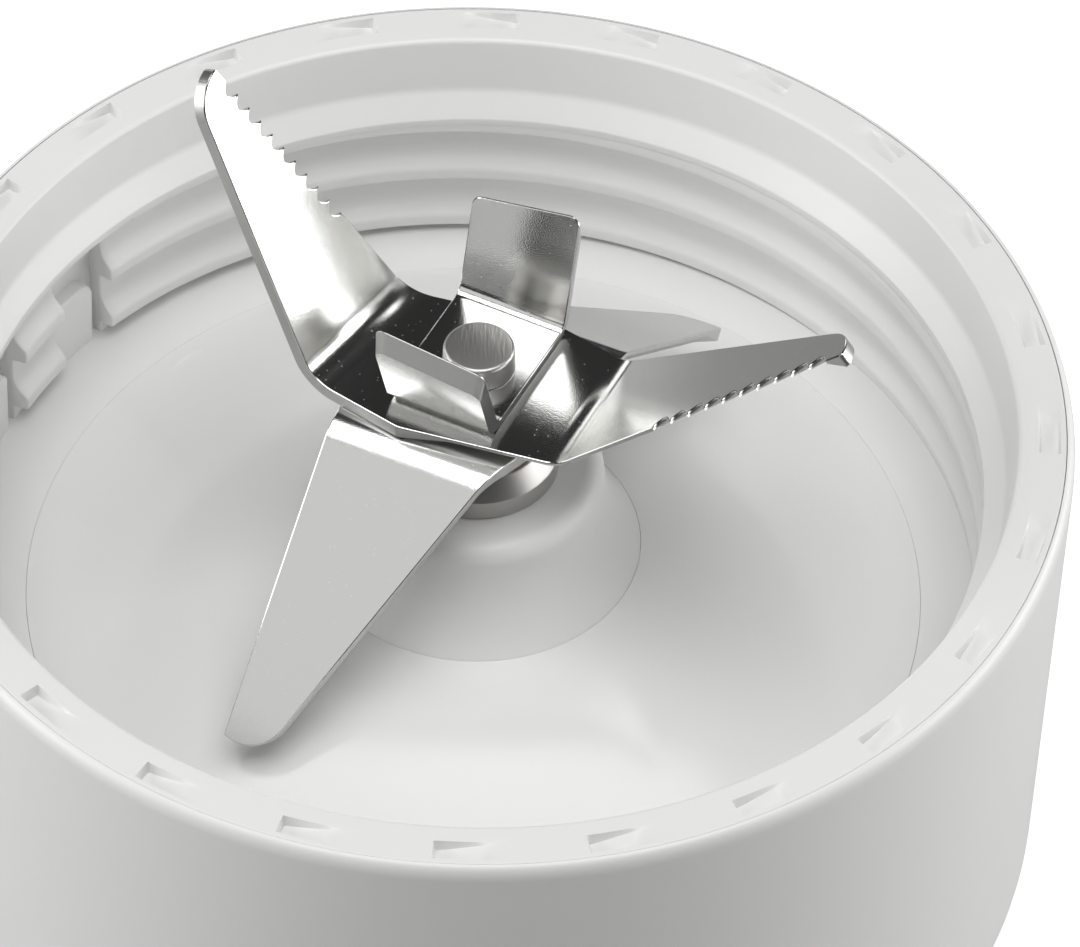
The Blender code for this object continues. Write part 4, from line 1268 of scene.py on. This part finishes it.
def tang_hole(blades, azimuth):
    """The shaft's two-flat section with its clearance, in a blade turned to this azimuth."""
    reach = math.degrees(math.asin(TANG_FLAT / TANG_RADIUS))
    right = arc((0, 0), TANG_RADIUS, -reach, reach, 10)
    left = arc((0, 0), TANG_RADIUS, 180 - reach, 180 + reach, 10)
    spin = Matrix.Rotation(blades.tab_azimuth - azimuth, 2)
    return [tuple(spin @ Vector(point)) for point in right + left]


def serrated_arm(blades):
    """Outline of a serrated arm, from the hub's corner along the teeth and round the tip."""
    slope, back_slope = math.tan(blades.upper_taper), math.tan(blades.upper_back_taper)

    def front(x):
        return blades.upper_front + x * slope

    def ground(x, depth=0.0):
        return (x, front(x) + depth, x, front(x) + blades.grind)

    hub_x = (-blades.upper_back - blades.upper_front) / (slope + back_slope)
    hub = (hub_x, front(hub_x))
    point = (blades.upper_length, front(blades.upper_length))
    shoulder_x = blades.upper_length - POINT_WIDTH
    shoulder = (shoulder_x, blades.upper_back - shoulder_x * back_slope)
    first = blades.upper_length - blades.first_tooth
    edge = []
    for tooth in range(blades.teeth):
        start = first - blades.tooth_pitch * tooth
        peak = start - blades.tooth_pitch
        valley = peak + GULLET_LOW * blades.tooth_pitch
        for share in (0.0, 0.2, 0.4, 0.6, 0.8, 1.0):
            depth = blades.tooth_depth * math.sin(share * math.pi / 2) ** 1.1
            edge.append(ground(start + (valley - start) * share, depth))
        for share in (0.3, 0.6, 0.84, 0.96):
            depth = blades.tooth_depth * (1 - share) ** 0.35
            edge.append(ground(valley + (peak - valley) * share, depth))
    last = first - blades.tooth_pitch * blades.teeth
    plain = 8
    edge += [ground(last + (2 * MM - last) * step / plain) for step in range(plain + 1)]
    corner = corner_arc(opposite([shoulder])[0], hub, point, blades.upper_hub_round)
    return (
        corner + edge[::-1] + corner_arc(hub, point, shoulder, 0.4 * MM)
        + corner_arc(point, shoulder, opposite([hub])[0], blades.upper_tip)
    )


class BLADEUNIT_OT_serrated_blade(bpy.types.Operator):
    """Add the serrated blade, whose arms bend up"""

    bl_idname = "bladeunit.serrated_blade"
    bl_label = "Serrated Blade"

    def execute(self, context):
        blades = context.scene.unit_blades
        top = low("tab_blade") - SLIT
        arm = serrated_arm(blades)
        bm = blade_blank(arm + opposite(arm), tang_hole(blades, blades.upper_azimuth),
                         blades.sheet, blades.edge, 0.25 * blades.sheet)
        fold_blade(
            bm, blades.sheet, top, (blades.upper_fold, blades.upper_fold_2),
            (blades.upper_bend, blades.upper_bend_2), blades.bend, blades.upper_azimuth,
            (blades.upper_skew, blades.upper_skew_2),
        )
        blade = as_object("serrated_blade", bm, [polished_stainless, sheared_stainless], sharp=18)
        settle(blade, "rotor", "blade_steel", "upper_blade")
        return {"FINISHED"}


def smooth_arm(blades):
    """Outline of a smooth arm: a straight ground edge, a round tip and a tapering back."""
    slope = math.tan(blades.lower_taper)
    shift = SMOOTH_TIP_SHIFT
    centre = (blades.lower_length - blades.lower_tip, -blades.lower_edge + shift * blades.lower_tip)
    start = math.degrees(math.pi / 2 - blades.lower_taper)
    tip = arc(centre, blades.lower_tip, -math.degrees(math.asin(shift)), start, 20)
    hub = tip[-1][0] + (blades.lower_edge - tip[-1][1]) / -slope
    arm = []
    for step in range(1, 9):
        x = -hub + (tip[0][0] + hub) * step / 9
        ground = (x, -blades.lower_edge + SMOOTH_GRIND) if x > SMOOTH_GROUND_FROM else ()
        arm.append((x, -blades.lower_edge, *ground))
    return arm + tip + [(hub, blades.lower_edge)]


class BLADEUNIT_OT_smooth_blade(bpy.types.Operator):
    """Add the smooth blade, whose arms bend down"""

    bl_idname = "bladeunit.smooth_blade"
    bl_label = "Smooth Blade"

    def execute(self, context):
        blades = context.scene.unit_blades
        top = low("tab_blade") - blades.sheet - 2 * SLIT
        arm = smooth_arm(blades)
        bm = blade_blank(arm + opposite(arm), tang_hole(blades, blades.lower_azimuth),
                         blades.sheet, blades.edge, 0.35 * blades.sheet)
        fold_blade(bm, blades.sheet, top, (blades.lower_fold, blades.lower_fold),
                   (blades.lower_front, blades.lower_rear), blades.bend, blades.lower_azimuth)
        blade = as_object("smooth_blade", bm, [polished_stainless, sheared_stainless], sharp=18)
        settle(blade, "rotor", "blade_steel", "lower_blade")
        return {"FINISHED"}


class BLADEUNIT_OT_tab_blade(bpy.types.Operator):
    """Add the small plate with two upright tabs"""

    bl_idname = "bladeunit.tab_blade"
    bl_label = "Tab Plate"

    def execute(self, context):
        blades = context.scene.unit_blades
        rear, front = blades.tab_fold, blades.tab_fold_2
        corners = [
            (-front - blades.tab_front_right, blades.tab_right, blades.tab_corner),
            (rear + blades.tab_rear_right, blades.tab_right, blades.tab_corner),
            (rear + blades.tab_rear_left, blades.tab_left, blades.tab_corner),
            (-front - blades.tab_front_left, blades.tab_left, blades.tab_corner),
        ]
        limits = (-front - blades.tab_front_right + blades.tab_corner,
                  rear + blades.tab_rear_left - blades.tab_corner)
        points = []
        for x, y in rounded(corners):
            if limits[0] < x < limits[1]:
                points.append((x, y))
                continue
            # The ends of the tabs are ground thin from outside.
            end = blades.tab_grind if x < 0 else -blades.tab_grind
            inset = blades.edge if y < 0 else -blades.edge
            points.append((x, y, x + end, y + inset * 2))
        top = low("tab_blade") + blades.sheet
        bm = blade_blank(points, tang_hole(blades, blades.tab_azimuth), blades.sheet, blades.edge,
                         1.5 * blades.edge)
        fold_blade(bm, blades.sheet, top, (rear, front), (blades.tab_bend, blades.tab_bend_2),
                   blades.tab_radius, blades.tab_azimuth)
        blade = as_object("tab_plate", bm, [polished_stainless, sheared_stainless], sharp=18)
        settle(blade, "rotor", "blade_steel", "tab_blade")
        return {"FINISHED"}


# Shaft and drive


def spun(name, corners, maker, body, slot, *nodes, steps=FINE_STEPS):
    """A turned piece from its section's corners (radius, height, corner radius)."""
    piece = as_object(name, lathe(rounded(corners), even_turn(steps)), [maker])
    settle(piece, body, slot, *nodes)
    return piece


class BLADEUNIT_OT_shaft(bpy.types.Operator):
    """Add the shaft with its riveted head, and the rings under the blades"""

    bl_idname = "bladeunit.shaft"
    bl_label = "Shaft and Spacers"

    def execute(self, context):
        radius = SHAFT_RADIUS
        head = high("blade_shaft", X)
        under = HEAD_TOP - HEAD_HEIGHT
        groove = low("circlip")
        width, depth = CIRCLIP_GROOVE
        tail = low("drive_coupling")
        outline = rounded([
            (0, HEAD_TOP, 0),
            (head, HEAD_TOP - 0.05 * MM, 0.35 * MM),
            (head + 0.1 * MM, under, 0.1 * MM),
            (radius, under, 0),
            (radius, groove + width, 0),
            (radius - depth, groove + width, 0),
            (radius - depth, groove, 0),
            (radius, groove, 0),
            (radius, tail, 0),
            (radius - TAIL_STEP, tail, 0),
            (radius - TAIL_STEP, SHAFT_END, 0.4 * MM),
            (0, SHAFT_END, 0),
        ])
        bm = lathe(outline, even_turn(FINE_STEPS))
        for face in bm.faces:
            if face.calc_center_median().z > HEAD_TOP - 0.3 * MM:
                face.material_index = 1
        shaft = as_object("shaft_turning", bm, [turned_steel, peened_steel])
        settle(shaft, "rotor", "turned_steel", "blade_shaft")
        for node, maker, slot, round_edge in (
            ("thrust_washer", pressed_fibre, "fibre_washer", 0.1),
            ("blade_spacer", turned_steel, "turned_steel", 0.3),
            ("lower_thrust_washer", pressed_fibre, "fibre_washer", 0.1),
        ):
            outer, bore, edge = high(node, X), TANG_RADIUS, round_edge * MM
            spun(f"{node}_ring", [
                (bore, low(node), edge), (outer, low(node), edge),
                (outer, high(node), edge), (bore, high(node), edge),
            ], maker, "rotor", slot, node)
        return {"FINISHED"}


# Pieces that keep the frame's own shape


CARRIED = {
    "upper_bush": sintered_bronze, "lower_bush": sintered_bronze,
    "shaft_seal": nitrile_rubber, "boss_o_ring": nitrile_rubber, "lock_washer": turned_steel,
    "retaining_nut": turned_steel, "circlip": turned_steel, "drive_coupling": glass_filled_nylon,
    "coupling_insert": turned_steel, "coupling_washer": turned_steel, "coupling_nut": turned_steel,
}


class BLADEUNIT_OT_inner_pieces(bpy.types.Operator):
    """Give the inner pieces that keep the frame's shape their materials"""

    bl_idname = "bladeunit.inner_pieces"
    bl_label = "Inner Pieces"

    def execute(self, context):
        for start, maker in CARRIED.items():
            for name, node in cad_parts.items():
                if name.startswith(start):
                    node.data.materials.clear()
                    node.data.materials.append(surface(maker))
        return {"FINISHED"}


# Stage


FLOOR_HALF = 4.0  # metres from the middle to an edge
FLOOR_LIFT = 0.5  # glow that brings the board to nearly white for the camera
FLOOR_BOUNCE = 0.42  # share of the light that the board gives back to the object
ROOM_LEVEL = 0.03  # light from the dark studio around the softboxes

# Each softbox: name, centre, the point it faces, (width, height) in metres, and its radiance
LIGHTS = (
    ("top_box", (0.0, -0.10, 0.75), (0.0, 0.0, 0.03), (0.75, 0.55), 3.3),
    ("right_box", (0.50, 0.05, 0.14), (0.0, 0.0, 0.06), (0.50, 0.30), 4.2),
    ("left_box", (-0.55, -0.05, 0.20), (0.0, 0.0, 0.05), (0.50, 0.40), 3.4),
    ("back_box", (-0.15, 0.60, 0.16), (0.0, 0.0, 0.05), (0.45, 0.14), 1.6),
    ("front_box", (-0.38, -0.42, 0.45), (0.0, 0.0, 0.05), (0.40, 0.40), 0.75),
)


def add_softbox(scene, name, place, target, size, radiance):
    """Area light whose face has this radiance, so that its size doesn't change how bright it looks."""
    data = bpy.data.lights.new(name, "AREA")
    data.shape = "RECTANGLE"
    data.size, data.size_y = size
    data.energy = radiance * math.pi * size[0] * size[1]
    light = bpy.data.objects.new(name, data)
    light.location = place
    light.rotation_euler = (Vector(target) - Vector(place)).to_track_quat("-Z", "Y").to_euler()
    scene.collection.objects.link(light)


def add_camera(scene):
    """A long lens, so that the near and far sides of the rim keep almost the same scale."""
    distance = 13.869 * SHELL_RADIUS
    lift, pitch, yaw, roll = 0.80890, 0.81566, 0.011198, 0.030455
    data = bpy.data.cameras.new("camera")
    data.sensor_width = 36.0
    data.lens = 276.96
    camera = bpy.data.objects.new("camera", data)
    forward = Vector((
        math.sin(yaw) * math.cos(pitch), math.cos(yaw) * math.cos(pitch), -math.sin(pitch)
    ))
    right = Vector((math.cos(yaw), -math.sin(yaw), 0))
    up = right.cross(forward)
    tilted = math.cos(roll) * right + math.sin(roll) * up
    upright = -math.sin(roll) * right + math.cos(roll) * up
    turn = Matrix((tilted, upright, -forward)).transposed().to_4x4()
    place = Vector((0, -distance * math.cos(lift), distance * math.sin(lift) + RIM_Z))
    camera.matrix_world = Matrix.Translation(place) @ turn
    scene.collection.objects.link(camera)
    scene.camera = camera


class BLADEUNIT_OT_stage(bpy.types.Operator):
    """Add the camera, the floor and the lights"""

    bl_idname = "bladeunit.stage"
    bl_label = "Stage"

    def execute(self, context):
        scene = context.scene
        bm = bmesh.new()
        bmesh.ops.create_grid(bm, x_segments=8, y_segments=8, size=FLOOR_HALF)
        bmesh.ops.translate(bm, verts=bm.verts, vec=(0, 0, -SLIT))
        floor = as_object("stage_floor", bm, [stage_floor])

        add_camera(scene)
        for name, place, target, size, radiance in LIGHTS:
            add_softbox(scene, name, place, target, size, radiance)

        world = bpy.data.worlds.new("studio")
        world.use_nodes = True
        tree = world.node_tree
        tree.nodes.clear()
        seen = add_node(tree, "ShaderNodeLightPath").outputs["Is Camera Ray"]
        level = add_node(
            tree, "ShaderNodeMapRange", {"Value": seen, "To Min": ROOM_LEVEL, "To Max": 1.0}
        )
        back = add_node(tree, "ShaderNodeBackground", {"Strength": level.outputs[0]})
        back.inputs["Color"].default_value = (1.0, 1.0, 1.0, 1.0)
        add_node(tree, "ShaderNodeOutputWorld", {"Surface": back.outputs[0]})
        scene.world = world
        scene.view_settings.view_transform = "Standard"
        return {"FINISHED"}


OPERATORS = (
    BLADEUNIT_OT_shell,
    BLADEUNIT_OT_cup,
    BLADEUNIT_OT_thread,
    BLADEUNIT_OT_screws,
    BLADEUNIT_OT_gasket,
    BLADEUNIT_OT_bearing,
    BLADEUNIT_OT_serrated_blade,
    BLADEUNIT_OT_smooth_blade,
    BLADEUNIT_OT_tab_blade,
    BLADEUNIT_OT_shaft,
    BLADEUNIT_OT_inner_pieces,
    BLADEUNIT_OT_stage,
)


class BLADEUNIT_PT_panel(bpy.types.Panel):
    """Lists the pieces of the blade unit"""

    bl_idname = "BLADEUNIT_PT_panel"
    bl_label = "Blade Unit"
    bl_space_type = "VIEW_3D"
    bl_region_type = "UI"
    bl_category = "Blade Unit"

    def draw(self, context):
        for operator in OPERATORS:
            self.layout.operator(operator.bl_idname)
        for name in GROUPS:
            group = getattr(context.scene, name)
            box = self.layout.box()
            for prop in group.bl_rna.properties:
                if prop.identifier not in ("rna_type", "name"):
                    box.prop(group, prop.identifier)


def register():
    for group in GROUPS.values():
        bpy.utils.register_class(group)
    for name, group in GROUPS.items():
        setattr(bpy.types.Scene, name, bpy.props.PointerProperty(type=group))
    for operator in (*OPERATORS, BLADEUNIT_PT_panel):
        bpy.utils.register_class(operator)


def unregister():
    for operator in reversed((*OPERATORS, BLADEUNIT_PT_panel)):
        bpy.utils.unregister_class(operator)
    for name in GROUPS:
        delattr(bpy.types.Scene, name)
    for group in reversed(GROUPS.values()):
        bpy.utils.unregister_class(group)


def main():
    register()
    unit = bpy.ops.bladeunit
    unit.shell()
    unit.cup()
    unit.thread()
    unit.screws()
    unit.gasket()
    unit.bearing()
    unit.serrated_blade()
    unit.smooth_blade()
    unit.tab_blade()
    unit.shaft()
    unit.inner_pieces()
    unit.stage()


if __name__ == "__main__":
    main()
